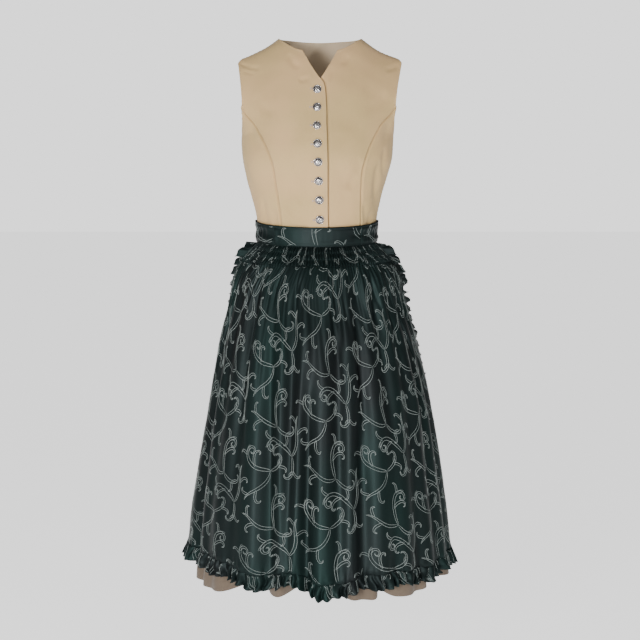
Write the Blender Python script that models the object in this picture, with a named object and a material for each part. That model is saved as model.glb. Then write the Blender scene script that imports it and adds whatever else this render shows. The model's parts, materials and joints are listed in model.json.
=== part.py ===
"""A dirndl dress with its gathered apron, in the hollow form it has when worn.

Metres, +Z up. The front faces -Y and the wearer's right is -X. The origin is the middle of the line
between the shoulder tips, where the wearer's shoulders carry the dress.

Around the body, turn is in degrees: 0 at the centre front, 90 at the wearer's left side, 180 at the back.
Every cloth piece is a wall: a grid of outer points from a surface function, and inner points a
cloth's thickness behind them.
"""

import math
from collections import namedtuple

import bmesh
import bpy
from mathutils import Vector

# --- driving sizes -------------------------------------------------------------------------------
SEAM_GAP = 0.0003
BODICE_CLOTH = 0.0016
SKIRT_CLOTH = 0.0012
APRON_CLOTH = 0.0012
RUFFLE_CLOTH = 0.0010
BAND_CLOTH = 0.0022

WAIST = -0.388
UNDERARM = -0.166
SKIRT_HEM = -1.147
APRON_HEM = -1.100
WAIST_TILT = 0.010
TILT_ENDS_ABOVE = -0.300
TILT_ENDS_BELOW = -0.620

NECK_POINT = (0.0905, 0.041)
SHOULDER_TIP = (0.179, -0.005)
NOTCH_BOTTOM = -0.0505
NOTCH_CORNER = (0.038, 0.0125)
NOTCH_CURVE = 1.15
NECK_RISE = 0.028
BACK_NECK_DIP = 0.0045
SCOOP = 1.5
ARMHOLE_SCOOP = 0.0045
SHOULDER_CLEARANCE = 0.0002

# How far the chest and the back stand out at a depth below the shoulder line: a part that grows with
# its square root and a part that grows with it. Towards the armhole less of it is left.
CHEST_CURVE = (0.225, 0.050)
BACK_CURVE = (0.300, -0.150)
ARMHOLE_X = 0.17
ARMHOLE_FLATTENING = 0.30
UNDERARM_BLEND = 0.6

# The half width of the front that a share of 1 stands for.
HALF_FRONT = 0.20
LAP_RISE = 0.0024
LAP_STARTS = 0.17
LAP_UNDER = 0.0125
BUTTONS = 8
BUTTON_RADIUS = 0.0095
BUTTON_HEIGHT = 0.0048
FIRST_BUTTON = (-0.0066, -0.0786)
BUTTON_STEP = (0.0009, -0.0354)
BUTTON_SPREAD = 0.0005

BAND_TOP = -0.369
BAND_BOTTOM = -0.409
BAND_SIDE_TOP = 0.0035
BAND_CLEARANCE = 0.0032
BAND_ENDS = 45.0
WAIST_RADIUS = 0.12
SMOCK_BOTTOM = -0.4495
SMOCK_ROWS = 2
SMOCK_GATHERS = 36
SMOCK_WAVE = 0.0022
APRON_COLUMNS = 84

# The hem ruffle flares outwards, and its waves are as deep at the seam and as much deeper at the edge.
RUFFLE_DROP = 0.030
HEM_FLARE = 0.008
HEM_WAVES = 42
HEM_WAVE = (0.0018, 0.0055)
# The side ruffles stand off the apron by the first angle at the band and by the second below it.
RUFFLE_WIDTH = 0.022
RUFFLE_SEAM = 0.0008
RUFFLE_LEAN = (74, 9)
RUFFLE_LEAN_ENDS = 0.062
SIDE_WAVES = 24
SIDE_WAVE = 0.0062
SIDE_PROUD = 0.25

# The skirt's side seams and where it comes out from under the apron, in degrees, and its gathers.
SIDE_SEAM = 100
SKIRT_COMES_OUT = 112
SKIRT_IS_OUT = 130
BACK_GATHERS = 16
BACK_GATHER = 0.0026
GATHERS_RISE = 0.03
GATHERS_FADE = 0.14
GATHERS_END = -0.60

BOW_HEIGHT = -0.379
KNOT = (0.030, 0.020, 0.036)
LOOP_REACH = 0.105
LOOP_DEPTH = 0.014
LOOP_WIDTH = 0.050
LOOP_SLANT = 0.010
LOOP_DROOP = 0.020
TAIL_WIDTH = 0.052
TAIL_END = -0.760
TAIL_NARROW = 0.35
TAIL_START_X = 0.0115
TAIL_SPREAD = 0.055
TAIL_CLEARANCE = 0.0045
TAIL_WAVE = 0.003

Section = namedtuple("Section", "height right left front back")

# Half widths to the wearer's right and left, and depths to front and back, of the bodice.
TORSO = (
    Section(-0.388, 0.1365, 0.1225, 0.098, 0.084),
    Section(-0.365, 0.1385, 0.1245, 0.100, 0.085),
    Section(-0.337, 0.1430, 0.1270, 0.105, 0.089),
    Section(-0.300, 0.1510, 0.1350, 0.112, 0.094),
    Section(-0.262, 0.1615, 0.1465, 0.119, 0.099),
    Section(-0.225, 0.1700, 0.1575, 0.125, 0.104),
    Section(-0.195, 0.1715, 0.1600, 0.125, 0.106),
    Section(-0.166, 0.1700, 0.1610, 0.121, 0.106),
)
# The same for the bell that the skirt and the apron hang in.
BELL = (
    Section(-0.388, 0.1365, 0.1225, 0.098, 0.084),
    Section(-0.408, 0.1405, 0.1270, 0.101, 0.088),
    Section(-0.425, 0.1540, 0.1420, 0.111, 0.101),
    Section(-0.450, 0.1740, 0.1630, 0.126, 0.119),
    Section(-0.480, 0.1890, 0.1800, 0.140, 0.137),
    Section(-0.550, 0.2080, 0.1935, 0.161, 0.165),
    Section(-0.620, 0.2255, 0.2150, 0.181, 0.190),
    Section(-0.770, 0.2530, 0.2520, 0.214, 0.228),
    Section(-0.985, 0.2880, 0.2840, 0.252, 0.268),
    Section(-1.145, 0.3020, 0.3020, 0.275, 0.292),
)

# How far inside the bell the skirt lies, under the apron and behind.
Inset = namedtuple("Inset", "height front back")
SKIRT_INSETS = (
    Inset(-0.388, 0.0005, 0.0005),
    Inset(-0.400, 0.0030, 0.0024),
    Inset(-0.412, 0.0048, 0.0046),
    Inset(-0.430, 0.0075, 0.0022),
    Inset(-0.460, 0.0085, 0.0000),
    Inset(-1.145, 0.0090, 0.0000),
)

# Where the bodice's seams run: the share of the way from the centre to the side at each level.
SeamPoint = namedtuple("SeamPoint", "level right left")
PRINCESS = (
    SeamPoint(0.00, 0.415, 0.510),
    SeamPoint(0.19, 0.418, 0.500),
    SeamPoint(0.51, 0.415, 0.434),
    SeamPoint(0.72, 0.420, 0.424),
    SeamPoint(0.86, 0.468, 0.470),
    SeamPoint(1.00, 0.560, 0.545),
    SeamPoint(1.14, 0.700, 0.680),
    SeamPoint(1.32, 0.970, 0.970),
    SeamPoint(1.40, 1.000, 1.000),
)
BACK_SEAM = (
    SeamPoint(0.00, 0.300, 0.300),
    SeamPoint(0.40, 0.330, 0.330),
    SeamPoint(0.75, 0.420, 0.420),
    SeamPoint(0.93, 0.520, 0.520),
    SeamPoint(1.16, 0.720, 0.720),
    SeamPoint(1.32, 0.970, 0.970),
    SeamPoint(1.40, 1.000, 1.000),
)
# How far past the centre front the right front's edge lies, in metres, at each level.
LapPoint = namedtuple("LapPoint", "level past")
LAP_EDGE = (
    LapPoint(0.00, 0.0176),
    LapPoint(1.00, 0.0110),
    LapPoint(1.45, 0.0122),
    LapPoint(1.72, 0.0118),
    LapPoint(1.84, 0.0092),
    LapPoint(1.93, 0.0046),
    LapPoint(2.00, 0.0000),
)

# Folds of the apron: angles at the waist and at the hem, half width, and depths on the way down.
Fold = namedtuple("Fold", "waist_deg hem_deg width_deg hip middle hem")
APRON_FOLDS = (
    Fold(-86, -90, 4.6, 0.006, 0.010, 0.013),
    Fold(-72, -68, 4.6, 0.007, 0.017, 0.020),
    Fold(-59, -56, 3.8, 0.008, 0.005, 0.008),
    Fold(-45, -41, 4.4, 0.014, 0.009, 0.006),
    Fold(-30, -22, 4.2, 0.012, 0.022, 0.024),
    Fold(-16, -14, 3.4, 0.013, 0.017, 0.012),
    Fold(-5, -6, 3.4, 0.005, 0.021, 0.025),
    Fold(10, 8, 3.7, 0.012, 0.017, 0.014),
    Fold(25, 19, 4.2, 0.014, 0.022, 0.021),
    Fold(40, 34, 3.8, 0.013, 0.005, 0.010),
    Fold(54, 48, 4.4, 0.008, 0.010, 0.016),
    Fold(66, 62, 4.2, 0.008, 0.013, 0.012),
    Fold(77, 76, 4.2, 0.006, 0.010, 0.014),
    Fold(86, 92, 4.4, 0.003, 0.008, 0.012),
)
BACK_FOLDS = (
    Fold(112, 110, 4.6, 0.006, 0.013, 0.018),
    Fold(125, 124, 4.4, 0.009, 0.017, 0.022),
    Fold(139, 140, 4.8, 0.008, 0.019, 0.026),
    Fold(153, 154, 4.0, 0.010, 0.012, 0.016),
    Fold(166, 169, 4.6, 0.009, 0.020, 0.027),
    Fold(181, 184, 4.2, 0.010, 0.014, 0.018),
    Fold(195, 198, 4.8, 0.009, 0.020, 0.026),
    Fold(209, 212, 4.2, 0.010, 0.013, 0.017),
    Fold(223, 226, 4.8, 0.008, 0.019, 0.025),
    Fold(236, 239, 4.2, 0.008, 0.015, 0.020),
    Fold(249, 252, 4.4, 0.006, 0.012, 0.016),
)
HIP_HEIGHT, MIDDLE_HEIGHT = -0.58, -0.87
# Where the skirt's hem falls back behind the apron's hem, between the folds that show below it, and
# the share of that depth by which the hem rises there.
SKIRT_RECESSES = (
    Fold(-93, -93, 12.0, 0.0, 0.004, 0.064),
    Fold(-38, -38, 6.0, 0.0, 0.005, 0.060),
    Fold(-29, -29, 4.6, 0.0, 0.004, 0.060),
    Fold(-9, -9, 7.5, 0.0, 0.004, 0.066),
    Fold(4, 4, 7.0, 0.0, 0.004, 0.060),
    Fold(29, 29, 3.2, 0.0, 0.002, 0.044),
    Fold(66, 66, 9.0, 0.0, 0.004, 0.046),
)
RECESS_LIFT = 0.30
# How much higher than its lowest fold the apron's hem hangs on the way round.
HemPoint = namedtuple("HemPoint", "turn rise")
HEM_LINE = (
    HemPoint(-109, 0.036),
    HemPoint(-90, 0.032),
    HemPoint(-72, 0.028),
    HemPoint(-50, 0.026),
    HemPoint(-37, 0.015),
    HemPoint(-27, 0.005),
    HemPoint(-20, 0.009),
    HemPoint(-14, 0.016),
    HemPoint(-8, 0.011),
    HemPoint(-2, -0.005),
    HemPoint(4, -0.005),
    HemPoint(9, -0.007),
    HemPoint(14, 0.002),
    HemPoint(20, 0.009),
    HemPoint(26, 0.009),
    HemPoint(33, 0.012),
    HemPoint(40, 0.006),
    HemPoint(46, 0.009),
    HemPoint(53, 0.005),
    HemPoint(62, 0.010),
    HemPoint(75, 0.012),
    HemPoint(105, 0.018),
)

# The apron's side edges, in degrees each way from the centre front.
EdgeTurn = namedtuple("EdgeTurn", "height right left")
APRON_EDGES = (
    EdgeTurn(-0.409, -76.0, 71.0),
    EdgeTurn(-0.450, -84.0, 76.0),
    EdgeTurn(-0.500, -96.0, 83.0),
    EdgeTurn(-0.600, -104.0, 93.0),
    EdgeTurn(-0.850, -108.0, 102.0),
    EdgeTurn(-1.125, -109.0, 105.0),
)

BEIGE = (0.52, 0.43, 0.30, 1.0)
BOTTLE_GREEN = (0.012, 0.030, 0.027, 1.0)
OLD_SILVER = (0.60, 0.59, 0.58, 1.0)


# --- curves and surfaces -------------------------------------------------------------------------
def ease(x):
    """0 up to 0, 1 from 1 on, and smooth between."""
    x = min(1.0, max(0.0, x))
    return x * x * (3 - 2 * x)


def along(table, column, at):
    """A table's column at a place given by its first column, on a smooth curve through its rows."""
    rows = sorted(table, key=lambda row: row[0])
    at = min(rows[-1][0], max(rows[0][0], at))
    k = next((i for i in range(len(rows) - 1) if at <= rows[i + 1][0]), len(rows) - 2)

    def value(i):
        return getattr(rows[i], column)

    def slope(i):
        low, high = max(0, i - 1), min(len(rows) - 1, i + 1)
        return (value(high) - value(low)) / (rows[high][0] - rows[low][0])

    span = rows[k + 1][0] - rows[k][0]
    t = (at - rows[k][0]) / span
    return (
        value(k) * (1 + 2 * t) * (1 - t) ** 2
        + slope(k) * span * t * (1 - t) ** 2
        + value(k + 1) * t * t * (3 - 2 * t)
        + slope(k + 1) * span * t * t * (t - 1)
    )


def ring(table, turn, height, out=0.0):
    """A point on a table's oval section, moved out of it level with the ground."""
    angle = math.radians(turn)
    half = along(table, "left" if math.sin(angle) >= 0 else "right", height)
    depth = along(table, "front" if math.cos(angle) >= 0 else "back", height)
    point = Vector((half * math.sin(angle), -depth * math.cos(angle), 0))
    normal = Vector((math.sin(angle) / half, -math.cos(angle) / depth, 0)).normalized()
    point += normal * out
    point.z = height + waist_tilt(turn, height)
    return point


def waist_tilt(turn, height):
    """The waist line is lowest at the centre front; the tilt fades out above and below it."""
    rise = WAIST_TILT * (1 - max(0.0, math.cos(math.radians(turn))))
    above = ease((TILT_ENDS_ABOVE - height) / (TILT_ENDS_ABOVE - WAIST))
    below = ease((height - TILT_ENDS_BELOW) / (WAIST - TILT_ENDS_BELOW))
    return rise * above * below


def fold_depth(folds, turn, height):
    """How far a table's folds pull the cloth in at a place."""
    down = ease((WAIST - height) / (WAIST - SKIRT_HEM))
    total = 0.0
    for fold in folds:
        centre = fold.waist_deg + (fold.hem_deg - fold.waist_deg) * down
        away = ((turn - centre) / fold.width_deg) ** 2
        if away > 9:
            continue
        if height > HIP_HEIGHT:
            depth = fold.hip * ease((BAND_BOTTOM - height) / (BAND_BOTTOM - HIP_HEIGHT))
        elif height > MIDDLE_HEIGHT:
            share = (HIP_HEIGHT - height) / (HIP_HEIGHT - MIDDLE_HEIGHT)
            depth = fold.hip + (fold.middle - fold.hip) * ease(share)
        else:
            share = (MIDDLE_HEIGHT - height) / (MIDDLE_HEIGHT - SKIRT_HEM)
            depth = fold.middle + (fold.hem - fold.middle) * ease(share)
        total += depth * math.exp(-away)
    return total


def apron_surface(turn, height, out=0.0):
    """The apron, whose hem is lowest at the centre front and hangs unevenly towards its side edges."""
    point = ring(BELL, turn, height, out - fold_depth(APRON_FOLDS, turn, height))
    low = ease((MIDDLE_HEIGHT - height) / (MIDDLE_HEIGHT - APRON_HEM))
    point.z += along(HEM_LINE, "rise", turn) * low
    return point


def skirt_surface(turn, height):
    """The beige skirt: inside the apron in front, and out on the bell, gathered, behind."""
    signed = turn if turn <= 180 else turn - 360
    behind = ease((abs(signed) - SKIRT_COMES_OUT) / (SKIRT_IS_OUT - SKIRT_COMES_OUT))
    inset = along(SKIRT_INSETS, "front", height) * (1 - behind)
    inset += along(SKIRT_INSETS, "back", height) * behind
    depth = fold_depth(APRON_FOLDS, signed, height) * (1 - behind)
    depth += fold_depth(BACK_FOLDS, signed % 360, height)
    recess = fold_depth(SKIRT_RECESSES, signed, height)
    phase = 2 * math.pi * BACK_GATHERS * (signed % 360 - SIDE_SEAM) / (360 - 2 * SIDE_SEAM)
    fade = ease((WAIST - height) / GATHERS_RISE) * ease((height - GATHERS_END) / GATHERS_FADE)
    depth += BACK_GATHER * (1 - math.cos(phase)) * fade * ease((abs(signed) - SIDE_SEAM) / 10)
    point = ring(BELL, turn, height, -inset - depth - recess)
    point.z += RECESS_LIFT * recess
    return point


# The bodice's surfaces take share, from -1 at the right side to 1 at the left, and level: 0 at the
# waist, 1 at the underarm, 2 at the neckline and the shoulder seam.
def shoulder_height(x):
    slope = (SHOULDER_TIP[1] - NECK_POINT[1]) / (SHOULDER_TIP[0] - NECK_POINT[0])
    if x >= NECK_POINT[0]:
        return NECK_POINT[1] + slope * (x - NECK_POINT[0])
    return NECK_POINT[1] + NECK_RISE * (1 - (x / NECK_POINT[0]) ** 2)


def top_edge(share, is_front):
    """(x, z) of the neckline from share 0 to 0.5, and of the shoulder seam from there to 1."""
    if share >= 0.5:
        x = NECK_POINT[0] + (SHOULDER_TIP[0] - NECK_POINT[0]) * (share - 0.5) / 0.5
        return x, shoulder_height(x)
    if not is_front:
        x = NECK_POINT[0] * share / 0.5
        return x, NECK_POINT[1] - BACK_NECK_DIP * (1 - (share / 0.5) ** 2)
    if share >= 0.25:
        t = (share - 0.25) / 0.25
        rise = NECK_POINT[1] - NOTCH_CORNER[1]
        return NOTCH_CORNER[0] + (NECK_POINT[0] - NOTCH_CORNER[0]) * t, NOTCH_CORNER[1] + rise * t**SCOOP
    t = share / 0.25
    return NOTCH_CORNER[0] * t, NOTCH_BOTTOM + (NOTCH_CORNER[1] - NOTCH_BOTTOM) * t**NOTCH_CURVE


def chest_depth(x, z, is_front):
    """How far the chest or the back stands out from the shoulder line, at a place seen from ahead."""
    below = max(0.0, shoulder_height(x) - z)
    root, straight = CHEST_CURVE if is_front else BACK_CURVE
    depth = root * math.sqrt(below) + straight * below
    return depth * (1 - ARMHOLE_FLATTENING * min(1.0, x / ARMHOLE_X) ** 3)


def bodice_surface(share, level, is_front):
    side = 1 if share >= 0 else -1
    turn = share * 90 if is_front else 180 - share * 90
    if level <= 1:
        return ring(TORSO, turn, WAIST + (UNDERARM - WAIST) * max(0.0, level))
    base = ring(TORSO, turn, UNDERARM)
    top_x, top_z = top_edge(abs(share), is_front)
    up = min(1.0, level - 1)
    scoop = ARMHOLE_SCOOP * math.sin(math.pi * up) * abs(share) ** 6
    x = abs(base.x) + (top_x - abs(base.x)) * up - scoop
    z = UNDERARM + (top_z - UNDERARM) * up
    short = abs(base.y) - chest_depth(abs(base.x), UNDERARM, is_front)
    depth = chest_depth(x, z, is_front) + short * (1 - min(1.0, up / UNDERARM_BLEND)) ** 2.5
    depth = max(depth, SHOULDER_CLEARANCE)
    return Vector((side * x, -depth if is_front else depth, z))


def front_surface(share, level):
    return bodice_surface(share, level, True)


def back_surface(share, level):
    """Runs from the wearer's left at share -1 to the right at 1, so that it also faces out."""
    return bodice_surface(-share, level, False)


def lap_surface(share, level):
    """The right front, which rises over the left front at the centre."""
    rise = LAP_RISE * ease((share + LAP_STARTS) / (LAP_STARTS / 2))
    point = front_surface(share, level)
    return point + facing(front_surface, share, level) * rise


def facing(surface, u, v):
    """The outward normal of a surface whose u runs to the wearer's left and whose v runs up."""
    step = 1e-3
    ahead, behind = surface(u + step, v), surface(u - step, v)
    above, below = surface(u, v + step), surface(u, v - step)
    return (ahead - behind).cross(above - below).normalized()


def facing_level(surface, u, v):
    """The same, level with the ground, so that the pieces of a hanging wall end level."""
    normal = facing(surface, u, v)
    return Vector((normal.x, normal.y, 0)).normalized()


# --- making solids -------------------------------------------------------------------------------
def material(name, colour, roughness, metallic=0.0):
    made = bpy.data.materials.get(name) or bpy.data.materials.new(name)
    made.use_nodes = True
    shader = made.node_tree.nodes["Principled BSDF"]
    shader.inputs["Base Color"].default_value = colour
    shader.inputs["Roughness"].default_value = roughness
    shader.inputs["Metallic"].default_value = metallic
    return made


def add_object(name, bm, finish):
    mesh = bpy.data.meshes.new(name)
    bm.to_mesh(mesh)
    bm.free()
    mesh.shade_smooth()
    mesh.set_sharp_from_angle(angle=math.radians(40))
    obj = bpy.data.objects.new(name, mesh)
    obj.data.materials.append(finish)
    bpy.context.scene.collection.objects.link(obj)
    return obj


def wall(name, points, normals, thickness, finish):
    """A closed wall from a grid of outer points, a list for each row, and the normals there."""
    bm = bmesh.new()
    rows, columns = len(points), len(points[0])
    outer = [[bm.verts.new(p) for p in row] for row in points]
    cells = [(i, j) for i in range(rows - 1) for j in range(columns - 1)]
    for i, j in cells:
        bm.faces.new((outer[i][j], outer[i][j + 1], outer[i + 1][j + 1], outer[i + 1][j]))
    bm.normal_update()
    inner = []
    for i in range(rows):
        inner.append([])
        for j in range(columns):
            faces = outer[i][j].link_faces
            lean = sum(max(0.0, normals[i][j].dot(f.normal)) for f in faces) / len(faces)
            inner[i].append(points[i][j] - normals[i][j] * thickness / max(0.6, lean))
    inner = [[bm.verts.new(p) for p in row] for row in inner]
    for i, j in cells:
        bm.faces.new((inner[i][j], inner[i + 1][j], inner[i + 1][j + 1], inner[i][j + 1]))
    border = [(0, j) for j in range(columns)]
    border += [(i, columns - 1) for i in range(1, rows)]
    border += [(rows - 1, j) for j in range(columns - 2, -1, -1)]
    border += [(i, 0) for i in range(rows - 2, 0, -1)]
    for (a, b), (c, d) in zip(border, border[1:] + border[:1]):
        bm.faces.new((outer[c][d], outer[a][b], inner[a][b], inner[c][d]))
    return add_object(name, bm, finish)


def spread(start, end, count):
    return [start + (end - start) * i / count for i in range(count + 1)]


def panel(name, surface, rows, columns_at, thickness, finish, direction=facing):
    """A wall whose rows are places along v, each with its own places along u."""
    stations = [(u, v) for v in rows for u in columns_at(v)]
    width = len(columns_at(rows[0]))
    points = [surface(u, v) for u, v in stations]
    normals = [direction(surface, u, v) for u, v in stations]
    points = [points[i : i + width] for i in range(0, len(points), width)]
    normals = [normals[i : i + width] for i in range(0, len(normals), width)]
    return wall(name, points, normals, thickness, finish)


# --- the bodice ----------------------------------------------------------------------------------
SIDE_LEVELS = [0.0, 0.09, 0.20, 0.33, 0.48, 0.64, 0.79, 0.90, 1.0, 1.15, 1.30]
PANEL_LEVELS = SIDE_LEVELS + [1.44, 1.60, 1.78, 1.92, 2.0]
GAP_SHARE = SEAM_GAP / 2 / HALF_FRONT
# Places between a panel's outer edge and the lap, so that some fall on the neckline's corners.
OUTER_SPLIT = (0.0, 0.30, 0.602, 0.753, 0.904, 1.0)


def seam(table, side, level):
    return 1.0 if level > 1.35 else along(table, side, level)


def lap_share(level):
    """The lap's edge as a share of the way to the side."""
    return along(LAP_EDGE, "past", level) / HALF_FRONT


def make_bodice(cloth):
    """Seven panels; returns the right front, which the buttons sit on."""

    def gap(level):
        slant = 1 + ease((level - 0.80) / 0.25)
        return GAP_SHARE * slant if level < 1.35 else 0.0

    def right_front(level):
        edge = seam(PRINCESS, "right", level) - gap(level)
        outer = [-edge + (edge - LAP_STARTS) * f for f in OUTER_SPLIT]
        return outer + [-LAP_STARTS / 2, -0.04, 0.0, lap_share(level)]

    def left_front(level):
        edge = seam(PRINCESS, "left", level) - gap(level)
        under = LAP_UNDER / HALF_FRONT * ease((2.0 - level) / 0.12)
        outer = [edge + (LAP_STARTS - edge) * f for f in OUTER_SPLIT[::-1]]
        return [-under, 0.0, LAP_STARTS / 2] + outer

    def right_side_front(level):
        return spread(-1 + GAP_SHARE, -seam(PRINCESS, "right", level) - gap(level), 3)

    def left_side_front(level):
        return spread(seam(PRINCESS, "left", level) + gap(level), 1 - GAP_SHARE, 3)

    def back(level):
        edge = seam(BACK_SEAM, "left", level) - gap(level)
        return spread(-edge, edge, 12)

    def left_side_back(level):
        return spread(-1 + GAP_SHARE, -seam(BACK_SEAM, "left", level) - gap(level), 3)

    def right_side_back(level):
        return spread(seam(BACK_SEAM, "right", level) + gap(level), 1 - GAP_SHARE, 3)

    pieces = (
        ("bodice_right_front", lap_surface, PANEL_LEVELS, right_front),
        ("bodice_left_front", front_surface, PANEL_LEVELS, left_front),
        ("bodice_right_side_front", front_surface, SIDE_LEVELS, right_side_front),
        ("bodice_left_side_front", front_surface, SIDE_LEVELS, left_side_front),
        ("bodice_back", back_surface, PANEL_LEVELS, back),
        ("bodice_left_side_back", back_surface, SIDE_LEVELS, left_side_back),
        ("bodice_right_side_back", back_surface, SIDE_LEVELS, right_side_back),
    )
    made = {}
    for name, surface, levels, columns in pieces:
        made[name] = panel(name, surface, levels, columns, BODICE_CLOTH, cloth)
    return made["bodice_right_front"]


def level_at(height):
    """The level of a height on the centre front."""
    if height <= UNDERARM:
        return (height - WAIST) / (UNDERARM - WAIST)
    return 1 + (height - UNDERARM) / (NOTCH_BOTTOM - UNDERARM)


def seat_on(cloth, centre, normal, radius):
    """Moves a centre along a normal until a disc there just clears the cloth."""
    across = Vector((0, 0, 1)).cross(normal).normalized()
    up = normal.cross(across)
    highest = -1.0
    for share in (0.0, 0.5, 1.0):
        for k in range(16):
            angle = 2 * math.pi * k / 16
            spoke = (across * math.cos(angle) + up * math.sin(angle)) * radius * share
            start = centre + spoke + normal * 0.02
            found, place, _, _ = cloth.ray_cast(start, -normal)
            if found:
                highest = max(highest, (place - centre).dot(normal))
    return centre + normal * (highest + SEAM_GAP)


def make_buttons(metal, front):
    """Domed metal buttons with a rim, each sitting on the lap."""
    profile = ((0.0, 1.0), (0.42, 0.90), (0.74, 0.62), (0.84, 0.40), (1.0, 0.44), (1.0, 0.0))
    sides = 12
    for i in range(BUTTONS):
        x = FIRST_BUTTON[0] + BUTTON_STEP[0] * i
        height = FIRST_BUTTON[1] + (BUTTON_STEP[1] - BUTTON_SPREAD * i) * i
        level, share = level_at(height), x / HALF_FRONT
        normal = facing(lap_surface, share, level)
        seat = seat_on(front, lap_surface(share, level), normal, BUTTON_RADIUS)
        across = Vector((0, 0, 1)).cross(normal).normalized()
        up = normal.cross(across)
        bm = bmesh.new()
        crown = bm.verts.new(seat + normal * BUTTON_HEIGHT)
        rings = []
        for radius, rise in profile[1:]:
            angles = [2 * math.pi * k / sides for k in range(sides)]
            rings.append(
                [
                    bm.verts.new(
                        seat
                        + (across * math.cos(a) + up * math.sin(a)) * radius * BUTTON_RADIUS
                        + normal * rise * BUTTON_HEIGHT
                    )
                    for a in angles
                ]
            )
        for k in range(sides):
            bm.faces.new((crown, rings[0][k], rings[0][(k + 1) % sides]))
            for inner, outer in zip(rings, rings[1:]):
                bm.faces.new((inner[k], outer[k], outer[(k + 1) % sides], inner[(k + 1) % sides]))
        bm.faces.new(list(reversed(rings[-1])))
        add_object(f"button_{i + 1}", bm, metal)


# --- the skirt -----------------------------------------------------------------------------------
def make_skirt(cloth):
    rows = [SKIRT_HEM, -1.00, -0.81, -0.63, -0.50, -0.435, -0.405, WAIST - SEAM_GAP]
    half_gap = math.degrees(SEAM_GAP / 2 / WAIST_RADIUS)
    for name, start, end, step in (
        ("skirt_front", -SIDE_SEAM, SIDE_SEAM, 3.45),
        ("skirt_left_back", SIDE_SEAM, 180, 2.5),
        ("skirt_right_back", 180, 360 - SIDE_SEAM, 2.5),
    ):
        columns = spread(start + half_gap, end - half_gap, round((end - start) / step))
        panel(name, skirt_surface, rows, lambda _: columns, SKIRT_CLOTH, cloth, facing_level)


# --- the apron -----------------------------------------------------------------------------------
def band_surface(turn, up):
    """The waistband and its ties: up runs from 0 at the lower edge to 1 at the upper edge."""
    side = 1 - max(0.0, math.cos(math.radians(turn)))
    height = BAND_BOTTOM + (BAND_TOP + BAND_SIDE_TOP * side - BAND_BOTTOM) * up
    point = ring(TORSO, turn, max(WAIST, height), BAND_CLEARANCE + BAND_CLOTH)
    point.z = height + waist_tilt(turn, WAIST)
    return point


def make_band(satin):
    rows = [0.0, 0.33, 0.67, 1.0]
    half_gap = math.degrees(SEAM_GAP / WAIST_RADIUS)
    knot = 3.0
    for name, start, end, count in (
        ("apron_band", -BAND_ENDS, BAND_ENDS, 22),
        ("apron_left_tie", BAND_ENDS, 180 - knot, 28),
        ("apron_right_tie", 180 + knot, 360 - BAND_ENDS, 28),
    ):
        columns = spread(start + half_gap, end - half_gap, count)
        panel(name, band_surface, rows, lambda _: columns, BAND_CLOTH, satin, facing_level)


def edge_turns(height):
    return along(APRON_EDGES, "right", height), along(APRON_EDGES, "left", height)


def smock_surface(across, height):
    """The gathered top of the apron: puckers that change places from one stitched row to the next."""
    right, left = edge_turns(height)
    turn = right + (left - right) * across
    rows_down = (BAND_BOTTOM - height) / (BAND_BOTTOM - SMOCK_BOTTOM) * SMOCK_ROWS
    phase = 2 * math.pi * SMOCK_GATHERS * across + math.pi * rows_down
    swell = (0.45 + 0.55 * ease(rows_down)) * ease(min(across, 1 - across) * SMOCK_GATHERS)
    return ring(BELL, turn, height, SMOCK_WAVE * swell * math.sin(phase))


def make_apron(satin):
    columns = spread(0, 1, SMOCK_GATHERS * 4)
    rows = [SMOCK_BOTTOM + SEAM_GAP, -0.429, BAND_BOTTOM - SEAM_GAP]
    panel("apron_smocking", smock_surface, rows, lambda _: columns, APRON_CLOTH, satin, facing_level)

    def panel_columns(height):
        right, left = edge_turns(height)
        return spread(right, left, APRON_COLUMNS)

    rows = [APRON_HEM, -1.03, -0.93, -0.82, -0.71, -0.61, -0.53, -0.48, SMOCK_BOTTOM]
    panel("apron_panel", apron_surface, rows, panel_columns, APRON_CLOTH, satin, facing_level)


def wave(turns):
    """A ruffle's wave after a number of turns, made a little uneven by two slow swings."""
    slow = 0.45 * math.sin(0.73 * turns) + 0.30 * math.sin(1.91 * turns + 1.0)
    return math.sin(2 * math.pi * turns + slow) * (1 + 0.22 * math.sin(1.37 * turns))


def hem_ruffle_surface(across, up):
    """The frill below the apron's hem: up is 1 at its seam and 0 at its loose edge."""
    right, left = edge_turns(APRON_HEM)
    turn = right + (left - right) * across
    down = 1 - up
    out = HEM_FLARE * down + (HEM_WAVE[0] + HEM_WAVE[1] * down) * wave(across * HEM_WAVES)
    point = apron_surface(turn, APRON_HEM, out)
    # The panel's lower edge is straight from each of its columns to the next.
    step = (left - right) / APRON_COLUMNS
    before = right + step * math.floor((turn - right) / step)
    share = (turn - before) / step
    edge = apron_surface(before, APRON_HEM).z * (1 - share)
    edge += apron_surface(before + step, APRON_HEM).z * share
    point.z = edge - 2 * SEAM_GAP - RUFFLE_DROP * down
    return point


def side_ruffle_surface(side, height, outward):
    """The frill that stands off one of the apron's side edges: outward is 0 at its seam."""
    right, left = edge_turns(height)
    turn = left if side > 0 else right
    edge = apron_surface(turn, height)
    beyond = (apron_surface(turn + side * 0.5, height) - edge).normalized()
    proud = ring(BELL, turn, height, 0.01) - ring(BELL, turn, height)
    proud.normalize()
    fallen = ease((BAND_BOTTOM - height) / RUFFLE_LEAN_ENDS)
    lean = math.radians(RUFFLE_LEAN[0] + (RUFFLE_LEAN[1] - RUFFLE_LEAN[0]) * fallen)
    spine = beyond * math.cos(lean) + proud * math.sin(lean)
    swing = proud * math.cos(lean) - beyond * math.sin(lean)
    run = (BAND_BOTTOM - height) / (BAND_BOTTOM - APRON_HEM)
    ripple = wave(SIDE_WAVES * run + (0.3 if side > 0 else 0.0))
    return (
        edge
        + beyond * RUFFLE_SEAM
        + spine * RUFFLE_WIDTH * outward
        + swing * SIDE_WAVE * outward * (ripple + SIDE_PROUD)
    )


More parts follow.
